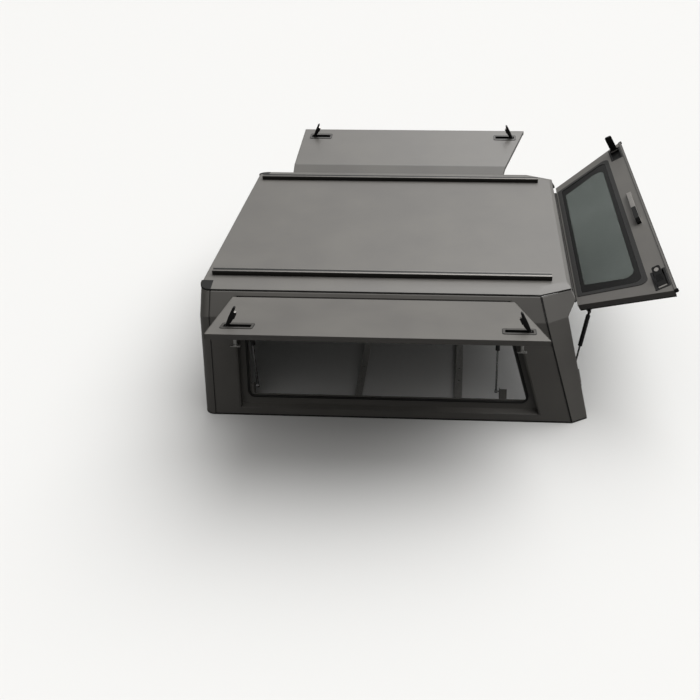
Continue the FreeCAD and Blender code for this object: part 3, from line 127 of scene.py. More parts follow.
def spread(tree, source, low, high, start=0.3, end=0.7):
    """Map a noise to a narrow range of values."""
    return add(tree, "ShaderNodeMapRange", {"Value": source, "From Min": start, "From Max": end,
                                            "To Min": low, "To Max": high}).outputs["Result"]


def tones(tree, source, dark, light, start=0.35, end=0.65):
    """Map a noise to a colour between two paints."""
    ramp = add(tree, "ShaderNodeValToRGB", {"Fac": source})
    ramp.color_ramp.elements[0].position = start
    ramp.color_ramp.elements[0].color = paint(dark)
    ramp.color_ramp.elements[1].position = end
    ramp.color_ramp.elements[1].color = paint(light)
    return ramp.outputs["Color"]


def mottle(tree, shader, source, paints, roughness):
    """Colour and roughness that follow the same noise."""
    tree.links.new(tones(tree, source, *paints), shader.inputs["Base Color"])
    tree.links.new(spread(tree, source, *roughness), shader.inputs["Roughness"])


def dent(tree, shader, source, height, strength):
    """Bump from a noise; height in metres."""
    bump = add(tree, "ShaderNodeBump", {"Strength": strength, "Distance": height, "Height": source})
    tree.links.new(bump.outputs["Normal"], shader.inputs["Normal"])


# %% [markdown]
# ## Finishes
# The sheet is steel with a polyester powder coat: charcoal, satin, with the slight orange peel that
# the melted powder leaves. Its colour hardly changes from place to place, so a wide, weak noise does
# for colour and roughness, and a fine one makes the peel. A picture of a coat would show its edges on
# a panel this large.

# %% Powder coat
powder, tree, shader = finish_of("satin_powder_coat")
peel = grain(tree, size=0.0035, detail=1.0)          # real peel is about 1 mm; drawn coarser so that it shows
cloud = grain(tree, size=0.28, detail=3.0, rough=0.6)
mottle(tree, shader, cloud, ("#62605d", "#686662"), (0.40, 0.44))
shader.inputs["IOR"].default_value = 1.5
dent(tree, shader, peel, height=0.00012, strength=0.35)

# %% [markdown]
# The struts and the small steel are painted black, thinly and over a rougher metal. The same noise
# serves for colour, roughness and bumps, because on a thin coat all three follow the metal below.

# %% Black paint on the struts and the small steel
black_coat, tree, shader = finish_of("black_painted_steel")
fleck = grain(tree, size=0.006)
mottle(tree, shader, fleck, ("#131312", "#1c1c1b"), (0.42, 0.54))
shader.inputs["Specular IOR Level"].default_value = 0.35
dent(tree, shader, fleck, height=0.0001, strength=0.3)

# %% [markdown]
# The roof tracks are drawn aluminium, etched and dyed black, so they stay a metal with fine lines
# along their length. A noise stretched along X gives such lines without a picture, drawn about 1 mm
# apart, because real ones are too fine to show. Their tops get a lighter copy of the same metal, a
# painted highlight where the light falls on them, and the same lines show on it.


# %% Anodised tracks, and a painted highlight on their top
def drawn_lines(tree):
    """Fine lines along X, as the die leaves them."""
    line_length, lines_per_metre = 0.5, 900.0
    place = add(tree, "ShaderNodeTexCoord")
    scale = (1 / line_length, lines_per_metre, lines_per_metre)
    drawn = add(tree, "ShaderNodeMapping", {"Vector": place.outputs["Object"], "Scale": scale})
    return add(tree, "ShaderNodeTexNoise", {"Vector": drawn.outputs["Vector"], "Scale": 1.0,
                                            "Detail": 2.0}).outputs["Fac"]


anodised, tree, shader = finish_of("black_anodised_aluminium")
lines = drawn_lines(tree)
mottle(tree, shader, lines, ("#343332", "#403f3d"), (0.28, 0.38))
shader.inputs["Metallic"].default_value = 1.0
dent(tree, shader, lines, height=0.00005, strength=0.3)

# A lighter copy of the track metal: a painted highlight on the lit tops.
track_top_highlight, tree, shader = finish_of("painted_highlight_track_top")
mottle(tree, shader, drawn_lines(tree), ("#7d7b78", "#8f8d8a"), (0.3, 0.4))
shader.inputs["Metallic"].default_value = 1.0

# %% [markdown]
# The cross bars, cams and pins are galvanised. The zinc sets in flat crystals, the spangle, which
# Voronoi cells of about 6 mm draw well. A skin of its own oxide dulls the zinc, so it isn't a full
# metal here.

# %% Galvanised steel
galvanised, tree, shader = finish_of("galvanised_steel")
crystals_per_metre = 160.0
place = add(tree, "ShaderNodeTexCoord")
spangle = add(tree, "ShaderNodeTexVoronoi", {"Vector": place.outputs["Object"],
                                             "Scale": crystals_per_metre}).outputs["Distance"]
zinc_tone = tones(tree, spangle, "#a9a8a5", "#c2c1be", start=0.1, end=0.8)
tree.links.new(zinc_tone, shader.inputs["Base Color"])
tree.links.new(spread(tree, spangle, 0.42, 0.56, start=0.0, end=0.8), shader.inputs["Roughness"])
shader.inputs["Metallic"].default_value = 0.6

# %% [markdown]
# The strut rods are ground steel with hard chrome. The eye knows it by a clean bright line along the
# rod, and only a smear of oil breaks that, so just the roughness gets a noise.

# %% Hard chrome
chrome, tree, shader = finish_of("hard_chromed_rod")
smear = grain(tree, size=0.02)
shader.inputs["Base Color"].default_value = paint("#7f807f")
shader.inputs["Metallic"].default_value = 1.0
tree.links.new(spread(tree, smear, 0.2, 0.32), shader.inputs["Roughness"])

# %% [markdown]
# The seals and the gasket are extruded rubber, a matt black that dust turns a little brown. Matt
# means a high roughness, and a fine bump keeps the shine off the round sides.

# %% Rubber
rubber, tree, shader = finish_of("epdm_rubber")
skin = grain(tree, size=0.004, detail=3.0)
mottle(tree, shader, skin, ("#131312", "#1c1c1a"), (0.5, 0.68))
dent(tree, shader, skin, height=0.0002, strength=0.4)

# %% [markdown]
# The latches are moulded in glass-filled nylon from a mould with a fine spark-eroded texture. That
# texture breaks up the shine, so the specular level is lower than the plastic's own.

# %% Moulded nylon
nylon, tree, shader = finish_of("moulded_glass_filled_nylon")
spark = grain(tree, size=0.0022)
mottle(tree, shader, spark, ("#161616", "#202020"), (0.5, 0.62))
shader.inputs["Specular IOR Level"].default_value = 0.22
dent(tree, shader, spark, height=0.0001, strength=0.5)

# %% [markdown]
# The latch rims are painted a dark grey that stands between the black dish and the door. It is the
# same kind of paint as on the struts, only lighter and a little smoother.

# %% Grey paint on the latch rims
rim_grey, tree, shader = finish_of("dark_grey_latch_rim")
fleck = grain(tree, size=0.004)
mottle(tree, shader, fleck, ("#3b3937", "#45433f"), (0.4, 0.5))
dent(tree, shader, fleck, height=0.0001, strength=0.3)

# %% [markdown]
# The lock housings, the lock rings and the pull handle are bare die-cast zinc: light, and softly
# uneven, because the melt cools against the mould. Metallic stays below 1 for the dull cast skin.

# %% Zinc die-cast
zinc, tree, shader = finish_of("zinc_die_cast")
cast = grain(tree, size=0.003)
mottle(tree, shader, cast, ("#a6a39f", "#bbb8b4"), (0.3, 0.42))
shader.inputs["Metallic"].default_value = 0.85
dent(tree, shader, cast, height=0.00008, strength=0.4)

# %% [markdown]
# The windows are float glass with a grey-green tint. Full transmission with a tinted base colour
# darkens what lies behind it, and a very weak, wide bump gives the slight waves of the glass.

# %% Tinted glass
glass, tree, shader = finish_of("grey_tinted_float_glass")
roll = grain(tree, size=0.4, detail=1.0)
tree.links.new(tones(tree, roll, "#565d5a", "#5f6663"), shader.inputs["Base Color"])
shader.inputs["Roughness"].default_value = 0.02
shader.inputs["IOR"].default_value = 1.45
shader.inputs["Transmission Weight"].default_value = 1.0
dent(tree, shader, roll, height=0.0004, strength=0.2)

# %% [markdown]
# The band round the rear glass is black ceramic ink, printed and fired. It lies against the glass, so
# it has hardly any shine of its own, and a low specular level is what makes it look printed.

# %% Ceramic band
frit, tree, shader = finish_of("black_ceramic_band")
fired = grain(tree, size=0.003)
mottle(tree, shader, fired, ("#1d1c1b", "#252322"), (0.3, 0.4))
shader.inputs["Specular IOR Level"].default_value = 0.1

# %% [markdown]
# The CAD record names a material slot for each piece. A table ties every slot to its finish, so a
# piece's looks are never chosen twice.

# %% Slots of the record
finishes = {"powder_coated_sheet": powder, "anodised_track": anodised, "bar_metal": galvanised,
            "tinted_glass": glass, "seal_rubber": rubber, "latch_plastic": nylon, "strut_steel": black_coat,
            "rod_steel": chrome}
slot_of = {p["node"]: p["material_slot"] for p in frame["record"]["subparts"]}
body_of = {n: nodes[n]["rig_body"] for n in nodes}
print("slots in use:", sorted(set(slot_of.values())))

# %% [markdown]
# ## Folds
# A folded sheet has no sharp edge: the outside of a fold is rounded to about the sheet's thickness
# plus the punch. The CAD pieces are sharp, so each is copied, its loose triangles are merged back to
# flat faces, and its edges get a Bevel. Wide faces on both sides of an edge mean a fold and a large
# radius; a narrow face means the cut edge of the sheet and a small one.


# %% Put a finished mesh in the scene
def collect(name, mesh, mat, body, stands_for=()):
    """Link a finished mesh as a piece of the canopy that rides on a body."""
    piece = bpy.data.objects.new(name, mesh)
    bpy.context.scene.collection.objects.link(piece)
    if mat is not None:
        mesh.materials.clear()
        mesh.materials.append(mat)
    if stands_for:
        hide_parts(*stands_for)
    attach(piece, body)
    return piece


def narrowest(face):
    """The smaller side of the box round a face, in its own plane."""
    longest = max(face.edges, key=lambda e: e.calc_length())
    along = (longest.verts[1].co - longest.verts[0].co).normalized()
    across = face.normal.cross(along)
    return min(max(v.co.dot(d) for v in face.verts) - min(v.co.dot(d) for v in face.verts)
               for d in (along, across))


# %% [markdown]
# Folds on a sheet with many holes can cross each other, and then faces turn over or overlap. The area
# of all triangles shows it, so each piece tries its full fold first and a narrower one while the area
# is off by more than a rounding would explain.


# %% Measure a skin
turned_penalty = 10        # one turned triangle counts as this many times its area


def skin_area(mesh):
    """Area of all triangles; folds that cross each other make it grow, or turn triangles over."""
    mesh.calc_loop_triangles()
    triangles = mesh.loop_triangles
    turned = [t.area for t in triangles if t.normal.dot(mesh.polygons[t.polygon_index].normal) < 0]
    return sum(t.area for t in triangles) + turned_penalty * sum(turned)


# %% Mark each edge as a fold or a cut
fold_angle = math.radians(14)
wide_face, skin_thickness, tightest_inside = 0.007, 0.0022, 0.15


def weigh_edges(bm, fold, edge):
    """Mark each edge with its share of the fold's radius."""
    weight = bm.edges.layers.float.new("bevel_weight_edge")
    for e in bm.edges:
        if len(e.link_faces) != 2 or e.calc_face_angle(0) < fold_angle:
            continue
        wide = min(narrowest(f) for f in e.link_faces) > wide_face
        if wide and e.is_convex:
            e[weight] = 1.0
        elif wide:
            e[weight] = max(tightest_inside, (fold - skin_thickness) / fold)
        else:
            e[weight] = edge / fold


# %% Copy a CAD piece with rounded folds
flat_angle = math.radians(0.4)
allowed_growth, allowed_noise = 0.035, 0.004


def add_folds(piece):
    """Bevel by weight, and shading that keeps flat faces flat; returns the bevel."""
    bevel = piece.modifiers.new("folds", "BEVEL")
    bevel.limit_method = "WEIGHT"
    bevel.segments = 3
    bevel.use_clamp_overlap = False
    flat = piece.modifiers.new("flat_faces", "WEIGHTED_NORMAL")
    flat.weight = 100
    flat.keep_sharp = True
    return bevel


def rounded(node, fold, edge, near=0.00002):
    """A copy of a CAD piece with rounded folds that stands for it; near merges loose corners."""
    bm = bmesh.new()
    bm.from_mesh(nodes[node].data)
    bmesh.ops.remove_doubles(bm, verts=bm.verts, dist=near)
    bmesh.ops.dissolve_limit(bm, angle_limit=flat_angle, verts=bm.verts, edges=bm.edges)
    weigh_edges(bm, fold, edge)
    mesh = bpy.data.meshes.new("look_" + node)
    bm.to_mesh(mesh)
    bm.free()
    for p in mesh.polygons:
        p.use_smooth = True
    piece = bpy.data.objects.new(mesh.name, mesh)
    bpy.context.scene.collection.objects.link(piece)
    bevel = add_folds(piece)
    sharp_area = skin_area(mesh)
    for part in (1.0, 0.5, 0.25, 0.1, 0.0):
        bevel.width = fold * part
        graph = bpy.context.evaluated_depsgraph_get()
        done = bpy.data.meshes.new_from_object(piece.evaluated_get(graph))
        if abs(skin_area(done) / sharp_area - 1) < allowed_growth * part + allowed_noise:
            break
    if part < 1:
        print(node, "keeps folds of", round(1000 * fold * part, 2), "mm, because wider ones would cross")
    if part == 0:
        done.shade_flat()
    bpy.data.objects.remove(piece)
    done.name = "look_" + node
    return collect("look_" + node, done, finishes[slot_of[node]], body_of[node], (node,))


# %% [markdown]
# Sheet, moulded frame and small parts have different radii. The large sheets get 3.2 mm at a fold and
# 0.6 mm at a cut edge. The seals of the side doors and the cams are left out here, because they are
# built anew further down, and the panes keep their CAD mesh, because glass has ground flat edges.

# %% Dress the folded sheets, the extrusions and the small parts
both_sides = ("left", "right")
sheets = ["front_panel", "roof_panel", "rear_header"] + [
    s + n for s in both_sides for n in ("_side_panel", "_door_jamb", "_rear_pillar", "_door_skin")]
rebuilt = ["left_door_seal", "right_door_seal", "left_latch_cams", "right_latch_cams"]
looks = {}
for n in sheets:
    looks[n] = rounded(n, fold=0.0032, edge=0.0006, near=0.0005)
for n in ["left_door_frame", "right_door_frame"]:
    looks[n] = rounded(n, fold=0.0025, edge=0.0004)
looks["rear_door_frame"] = rounded("rear_door_frame", fold=0.004, edge=0.0004)
small = [n for n in nodes if n not in sheets + rebuilt and not nodes[n].hide_render
         and "tinted" not in slot_of[n] and "door_frame" not in n]
for n in small:
    looks[n] = rounded(n, fold=0.0008, edge=0.0004)
for n in nodes:
    if slot_of[n] == "tinted_glass":
        nodes[n].data.materials.clear()
        nodes[n].data.materials.append(glass)
print("dressed:", len(looks))

# %% [markdown]
# ## Pieces of two finishes
# A latch on a real canopy is a nylon moulding with a painted rim, a lever with a die-cast lock
# housing and a lock ring. The solids are one piece in the CAD model, so the faces that belong to the
# other finish are found by where they lie and get their own material.


# %% Give the faces that pass a test another finish
def second_finish(piece, mat, test):
    """Put a finish on the faces whose centre and normal pass a test."""
    mesh = piece.data
    mesh.materials.append(mat)
    found = 0
    for face in mesh.polygons:
        if test(face.center, face.normal):
            face.material_index = len(mesh.materials) - 1
            found += 1
    print(piece.name, "has", found, "faces of", mat.name)


def outward(mesh):
    """Normal of the widest flat side, on the side where the piece stands proud of it."""
    widest = max(mesh.polygons, key=lambda f: f.area)
    n = widest.normal.copy()
    level = widest.center.dot(n)
    proud = max(v.co.dot(n) for v in mesh.vertices) - level
    opposite = [f for f in mesh.polygons if f.normal.dot(n) < -0.99 and f.area > widest.area / 3]
    behind = min(f.center.dot(n) for f in opposite)
    sunk = behind - min(v.co.dot(n) for v in mesh.vertices)
    return (n, level) if proud > sunk else (-n, -behind)


# %% [markdown]
# The rim of a side-door latch is the top 2.1 mm of its dish. The door leans, so "top" is measured
# along the door's own normal, which is the mean normal of the faces that look up.

# %% Rims of the side-door latches
rim_height, upward = 0.0021, 0.9
door_up = {}
for side in both_sides:
    dish = looks[side + "_latch_dishes"]
    tops = [f for f in nodes[side + "_latch_dishes"].data.polygons if f.normal.z > upward]
    n = sum((f.normal * f.area for f in tops), Vector()).normalized()
    door_up[side] = n
    top = max(v.co.dot(n) for v in dish.data.vertices)
    second_finish(dish, rim_grey, lambda c, m: c.dot(n) > top - rim_height)

# %% [markdown]
# Only the faces of the tracks that look up and lie at the top get the lighter copy of the metal: a
# painted highlight where the light falls.

# %% Painted highlight on the tops of the roof tracks
highlight_above = 0.5385
for side in both_sides:
    second_finish(looks[side + "_roof_track"], track_top_highlight, lambda c, m: m.z > upward and c.z > highlight_above)

# %% [markdown]
# ## Added mouldings
# Small mouldings that the CAD model leaves plain are prisms: an outline pushed out both ways along a
# direction, with its edges rounded. One function makes them all.


# %% Prism with rounded edges
def prism(name, outline, half_width, across, edge):
    """Outline of points pushed out both ways along a direction, with rounded edges."""
    bm = bmesh.new()
    near = [bm.verts.new(p - across * half_width) for p in outline]
    far = [bm.verts.new(p + across * half_width) for p in outline]
    bm.faces.new(near)
    bm.faces.new(list(reversed(far)))
    for i in range(len(outline)):
        j = (i + 1) % len(outline)
        bm.faces.new([near[j], near[i], far[i], far[j]])
    bmesh.ops.recalc_face_normals(bm, faces=bm.faces)
    bmesh.ops.bevel(bm, geom=list(bm.edges), offset=edge, segments=3, affect="EDGES", profile=0.5)
    mesh = bpy.data.meshes.new(name)
    bm.to_mesh(mesh)
    bm.free()
    mesh.shade_smooth()
    return mesh


# %% [markdown]
# A strip of black rubber is laid in the slot of each roof track as painted shade: it stands for the
# dark of the slot, and it laps over the lip on the camera's side. The slot is read from the CAD track:
# it is the gap of 6 to 10 mm between two lips.

# %% Black strips of painted shade in the slots of the tracks
slot_least, slot_most = 0.006, 0.010
near_lap, far_lap = 0.005, 0.0005
cover_sunk, cover_proud, cover_short, cover_edge = 0.0004, 0.0006, 0.002, 0.0003
lip_depth = 0.0003
along_x = Vector((1, 0, 0))
# Each strip is painted shade: black rubber over the slot and the near lip.
for side in both_sides:
    track = nodes[side + "_roof_track"].data
    top = max(v.co.z for v in track.vertices)
    lips = sorted({round(v.co.y, 4) for v in track.vertices if v.co.z > top - lip_depth})
    ends = [v.co.x for v in track.vertices]
    print(side, "track lips at y =", lips, "top", round(top, 4))
    gaps = [(b - a, a, b) for a, b in zip(lips, lips[1:])]
    slot = min((g for g in gaps if slot_least < g[0] < slot_most), default=gaps[0])
    y0, y1 = slot[1] - near_lap, slot[2] + far_lap
    z0, z1 = top - cover_sunk, top + cover_proud
    middle = Vector(((min(ends) + max(ends)) / 2, 0, 0))
    cover = [middle + Vector((0, y, z)) for y, z in ((y0, z0), (y0, z1), (y1, z1), (y1, z0))]
    half = (max(ends) - min(ends)) / 2 - cover_short
    slot_shade_mesh = prism(side + "_cover", cover, half, along_x, cover_edge)
    collect(side + "_slot_shade_strip", slot_shade_mesh, rubber, "canopy_body")

# %% [markdown]
# A lever has a lock housing let into its outer half. The lever's direction is found from its pin and
# the points that are farthest from it, and the end faces of that half get the casting's finish.

# %% Cast faces on the four levers
joints = frame["record"]["behaviour"]["joints"]
pivots = {j["child"]: Vector(j["pos_m"]) for j in joints if "latch" in j["name"]}
levers = [name for name in pivots if "lever" in name]
facing, tip_depth = 0.8, 0.002           # cosine to a direction that still counts as facing it
housing_start, housing_end = 0.5, 0.85   # shares of the lever's reach
for name in levers:
    pivot = pivots[name]
    points = [v.co for v in looks[name].data.vertices]
    reach = max((p - pivot).length for p in points)
    tips = [p for p in points if (p - pivot).length > reach - tip_depth]
    arm = (sum(tips, Vector()) / len(tips) - pivot).normalized()
    second_finish(looks[name], zinc, lambda c, m: m.dot(arm) > facing
                  and housing_start * reach < (c - pivot).dot(arm) < housing_end * reach)

# %% [markdown]
# Each lever is a fat moulding with a hump where a finger lifts it, and a square lock housing stands
# on its corner in the middle. The profile is the shape seen from the side, in millimetres from the
# pin: along the arm first, then across it. A prism gives it its width.

# %% Moulded bodies and lock housings of the levers
lever_profile = [(9, -5), (9, 5), (26, 11), (36, 13), (62, 11),
                 (70, 5), (84, 4), (86, 0), (83, -4.5), (45, -6)]
lever_lean = math.radians(25)
lever_half_width, moulded_edge = 0.0078, 0.0012
lock_along, lock_across = 0.053, 0.006
lock_half_width, lock_half_depth, lock_half_length = 0.0082, 0.011, 0.013
for name in levers:
    pivot = pivots[name]
    inward = along_x * (1 if "_front_" in name else -1)
    n = door_up[name.split("_")[0]]
    arm = math.cos(lever_lean) * n + math.sin(lever_lean) * inward
    depth = (inward - arm * inward.dot(arm)).normalized()
    aside = n.cross(along_x)
    outline = [pivot + arm * p / 1000 + depth * q / 1000 for p, q in lever_profile]
    body_mesh = prism(name + "_body", outline, lever_half_width, aside, moulded_edge)
    collect(name + "_body", body_mesh, nylon, name)
    centre = pivot + arm * lock_along + depth * lock_across
    wide, deep = aside * lock_half_width, depth * lock_half_depth
    square = [centre + wide, centre + deep, centre - wide, centre - deep]
    lock_mesh = prism(name + "_block", square, lock_half_length, arm, moulded_edge)
    housing = collect(name + "_housing", lock_mesh, nylon, name)
    second_finish(housing, zinc, lambda c, m: m.dot(arm) > facing)

# %% [markdown]
# Below the door the lever's pin turns a cam: a round shaft with a collar and a cross tongue that
# catches behind the opening. Round bars and a rounded block in one mesh stand for the CAD's plain
# ones, and they are placed from the corners of those.

# %% Cams of the side-door latches
shaft, collar = (0.0060, 0.054, 0.027), (0.0085, 0.004, 0.050)      # radius, length, depth of the middle
tongue_size, tongue_depth, tongue_edge = (0.036, 0.012, 0.005), 0.0555, 0.0018
shaft_aside = 0.013
for side in both_sides:
    n = door_up[side]
    aside = n.cross(along_x)
    points = [v.co for v in nodes[side + "_latch_cams"].data.vertices]
    top = max(p.dot(n) for p in points)
    middle = (min(p.x for p in points) + max(p.x for p in points)) / 2
    turn = Matrix((along_x, aside, n)).transposed().to_4x4()
    bm = bmesh.new()
    for way in (1, -1):
        near = [p for p in points if (middle - p.x) * way > 0]
        centre_x = (min(p.x for p in near) + max(p.x for p in near)) / 2 - way * shaft_aside
        across = (min(p.dot(aside) for p in near) + max(p.dot(aside) for p in near)) / 2
        foot = along_x * centre_x + aside * across
        for r, length, down in (shaft, collar):
            place = Matrix.Translation(foot + n * (top - down)) @ turn
            bmesh.ops.create_cone(bm, cap_ends=True, segments=32, radius1=r, radius2=r,
                                  depth=length, matrix=place)
        place = Matrix.Translation(foot + n * (top - tongue_depth)) @ turn
        tongue = bmesh.ops.create_cube(bm, size=1, matrix=place @ Matrix.Diagonal((*tongue_size, 1)))
        edges = list({e for v in tongue["verts"] for e in v.link_edges})
        bmesh.ops.bevel(bm, geom=edges, offset=tongue_edge, segments=3, affect="EDGES", profile=0.5)
    mesh = bpy.data.meshes.new(side + "_cams")
    bm.to_mesh(mesh)
    bm.free()
    mesh.shade_smooth()
    mesh.set_sharp_from_angle(angle=math.radians(35))
    collect("look_%s_latch_cams" % side, mesh, galvanised, side + "_door", (side + "_latch_cams",))
    print(side, "cams have", len(mesh.polygons), "faces")

# %% [markdown]
# The lock rings of the paddles stand proud of the blade, so all faces above it are the casting. The
# pull handle is a bar with a moulded grip on its left part, and the rest shows the metal.

# %% Lock rings of the paddles, and the pull handle
grip_end, blade_depth = -0.036, 0.0002
for side in both_sides:
    piece = looks["rear_latch_%s_paddle" % side]
    n, level = outward(piece.data)
    second_finish(piece, zinc, lambda c, m: c.dot(n) > level + blade_depth)
second_finish(looks["rear_pull_handle"], zinc, lambda c, m: c.y > grip_end)

# %% [markdown]
# ## Cords and seals
# Rubber comes as a cord that is laid round an outline and bends with a soft corner, so it follows a
# rule: a path, a corner radius and a section swept along it. One tree of Geometry Nodes does this for
# the bulb seals of the side openings, the thin black cords of painted shade round the latches and the
# drip lines.


# %% Start a tree with named inputs
def group(name, sockets):
    """A tree with named inputs; returns it with its two end nodes."""
    tree = bpy.data.node_groups.new(name, "GeometryNodeTree")
    tree.interface.new_socket("Geometry", in_out="INPUT", socket_type="NodeSocketGeometry")
    for label, kind, value in sockets:
        socket = tree.interface.new_socket(label, in_out="INPUT", socket_type="NodeSocket" + kind)
        if value is not None:
            socket.default_value = value
    tree.interface.new_socket("Geometry", in_out="OUTPUT", socket_type="NodeSocketGeometry")
    return tree, add(tree, "NodeGroupInput"), add(tree, "NodeGroupOutput")


def end_tree(tree, geometry, given, result):
    """Make instances real and give them the finish, because an export drops instances."""
    real = add(tree, "GeometryNodeRealizeInstances", {"Geometry": geometry})
    coated = add(tree, "GeometryNodeSetMaterial", {"Geometry": real.outputs["Geometry"],
                                                   "Material": given.outputs["Finish"]})
    tree.links.new(coated.outputs["Geometry"], result.inputs["Geometry"])
    print("tree", tree.name, "has", len(tree.nodes), "nodes")


# %% Tree that sweeps a cord along a path with rounded corners
cord_tree, cord_in, cord_out = group("swept_cord", [
    ("Corner radius", "Float", 0.02), ("Cord radius", "Float", 0.004), ("Finish", "Material", None)])
path = add(cord_tree, "GeometryNodeMeshToCurve", {"Mesh": cord_in.outputs["Geometry"]})
bent = add(cord_tree, "GeometryNodeFilletCurve", {
    "Curve": path.outputs["Curve"], "Count": 8, "Limit Radius": True,
    "Radius": cord_in.outputs["Corner radius"]}, mode="POLY")
section = add(cord_tree, "GeometryNodeCurvePrimitiveCircle", {
    "Resolution": 12, "Radius": cord_in.outputs["Cord radius"]})
sweep = add(cord_tree, "GeometryNodeCurveToMesh", {
    "Curve": bent.outputs["Curve"], "Fill Caps": True, "Profile Curve": section.outputs["Curve"]})
smooth = add(cord_tree, "GeometryNodeSetShadeSmooth", {
    "Geometry": sweep.outputs["Mesh"], "Shade Smooth": True})
end_tree(cord_tree, smooth.outputs["Geometry"], cord_in, cord_out)


# %% Run a tree on a path or a set of points and keep the plain mesh
def grown(name, tree, mesh, values, body, stands_for=()):
    """A piece made by a tree; its inputs are set by identifier before it is first evaluated."""
    seed_object = bpy.data.objects.new(name, mesh)
    bpy.context.scene.collection.objects.link(seed_object)
    maker = seed_object.modifiers.new("rule", "NODES")
    maker.node_group = tree
    keys = {item.name: item.identifier for item in tree.interface.items_tree if item.in_out == "INPUT"}
    for label, value in values.items():
        maker[keys[label]] = value
    graph = bpy.context.evaluated_depsgraph_get()
    done = bpy.data.meshes.new_from_object(seed_object.evaluated_get(graph))
    bpy.data.objects.remove(seed_object)
    done.name = name
    piece = collect(name, done, None, body, stands_for)
    print(name, "has", len(done.polygons), "faces")
    return piece


def paths(name, outlines, shut=True):
    """Mesh of edges only, one loop or line for each outline."""
    points, edges = [], []
    for outline in outlines:
        first = len(points)
        points += [tuple(p) for p in outline]
        count = len(outline)
        edges += [(first + i, first + (i + 1) % count) for i in range(count if shut else count - 1)]
    mesh = bpy.data.meshes.new(name)
    mesh.from_pydata(points, edges, [])
    return mesh


def cord(name, path_name, outlines, body, corner, radius, shut=True, stands_for=()):
    """Rubber cord along loops or lines, with rounded corners."""
    values = {"Corner radius": corner, "Cord radius": radius, "Finish": rubber}
    return grown(name, cord_tree, paths(path_name, outlines, shut), values, body, stands_for)


# %% [markdown]
# The wall leans in twice: up to the crease, and more steeply from there to the roof's seam. Seals and
# cords on it need its half-width at any height, so this rule is written once.

# %% Outer face of the side wall
base_half, crease_half, seam_half = 0.785, 0.672, 0.606
crease_z, seam_z = 0.415, 0.508


def wall_y(z):
    """Half-width of the canopy's outer face at a height."""
    if z < crease_z:
        return crease_half + (base_half - crease_half) * (1 - z / crease_z)
    return seam_half + (crease_half - seam_half) * (seam_z - z) / (seam_z - crease_z)


print("half-width at the crease:", round(wall_y(crease_z), 3))

# %% [markdown]
# A bulb seal of 10 mm stands on the jamb's flange round each side opening and turns with a 25 mm
# corner. Its loop keeps an even distance from the opening, whose rear edge is raked, and it takes the
# place of the CAD's square-cornered strip.

# %% Bulb seals of the side openings
opening_front, opening_rear, opening_sill, opening_head = 0.106, 1.360, 0.030, 0.490
rake, slant = 0.292, 1.04        # run of the rear edge for each metre of height; its length for the same
seal_inset, seal_depth, bulb_radius, seal_corner = 0.033, 0.0346, 0.005, 0.025
front_x, sill_z, head_z = opening_front + seal_inset, opening_sill + seal_inset, opening_head - seal_inset
rear_x = opening_rear + rake * opening_sill - slant * seal_inset
corners = [(front_x, sill_z), (rear_x - rake * sill_z, sill_z), (rear_x - rake * crease_z, crease_z),
           (rear_x - rake * head_z, head_z), (front_x, head_z), (front_x, crease_z)]
for side, s in (("left", -1), ("right", 1)):
    line = [(x, s * (wall_y(z) - seal_depth), z) for x, z in corners]
    cord("look_%s_door_seal" % side, side + "_seal_path", [line], "canopy_body",
         corner=seal_corner, radius=bulb_radius, stands_for=(side + "_door_seal",))

# %% [markdown]
# The canopy is bolted together from panels, and black cord fills the seams: round the eaves between
# roof and walls, and up each front corner. Two open lines meet at the middle of the side, one with
# the front's round corners and one with the sharp bends of the rear pillars.

# %% Black cord in the seams
eave_z, tuck = 0.5045, 0.0022
front_face_x, side_middle_x = -0.048, 0.9
rear_face_x, rear_face_half, rear_seam_foot = 1.471, 0.549, 1.493
rear_seam_x = rear_seam_foot - rake * seam_z
eave_half, front_line_x, rear_line_x = seam_half - tuck, tuck + front_face_x, rear_face_x - tuck
rear_half = rear_face_half - tuck
front_line = [(side_middle_x, eave_half, eave_z), (front_line_x, eave_half, eave_z),
              (front_line_x, -eave_half, eave_z), (side_middle_x, -eave_half, eave_z)]
rear_line = [(side_middle_x, eave_half, eave_z), (rear_seam_x, eave_half, eave_z),
             (rear_line_x, rear_half, eave_z), (rear_line_x, -rear_half, eave_z),
             (rear_seam_x, -eave_half, eave_z), (side_middle_x, -eave_half, eave_z)]
for name, line, corner in (("eave_cord_front", front_line, 0.040), ("eave_cord_rear", rear_line, 0.003)):
    cord(name, name + "_path", [line], "canopy_body", corner=corner, radius=0.0034, shut=False)

corner_sunk, corner_foot, corner_head = 0.0012, 0.006, 0.5005
upright_lines = [[(0.0, s * (wall_y(z) - corner_sunk), z) for z in (corner_foot, crease_z, corner_head)]
                 for s in (-1, 1)]
cord("corner_seam_cords", "corner_seam_path", upright_lines, "canopy_body", corner=0.003, radius=0.0021,
     shut=False)

# %% [markdown]
# A thin black cord round each latch rim is painted shade: it stands for the dark line of shade
# between the rim and the door. The line follows the box round each rim, sunk a little below its top.

# %% Cords of painted shade round the side-door latches
rim_depth, shade_cord_sunk = 0.0003, -0.0012


def rim_outline(points, n, u, lift):
    """Corners of the box round a flat rim, at a distance above the face it lies on."""
    t = n.cross(u)
    level = max(p.dot(n) for p in points) + lift
    rim = [p for p in points if p.dot(n) > level - lift - rim_depth]
    a0, a1 = min(p.dot(u) for p in rim), max(p.dot(u) for p in rim)
    b0, b1 = min(p.dot(t) for p in rim), max(p.dot(t) for p in rim)
    return [a * u + b * t + level * n for a, b in ((a0, b0), (a1, b0), (a1, b1), (a0, b1))]


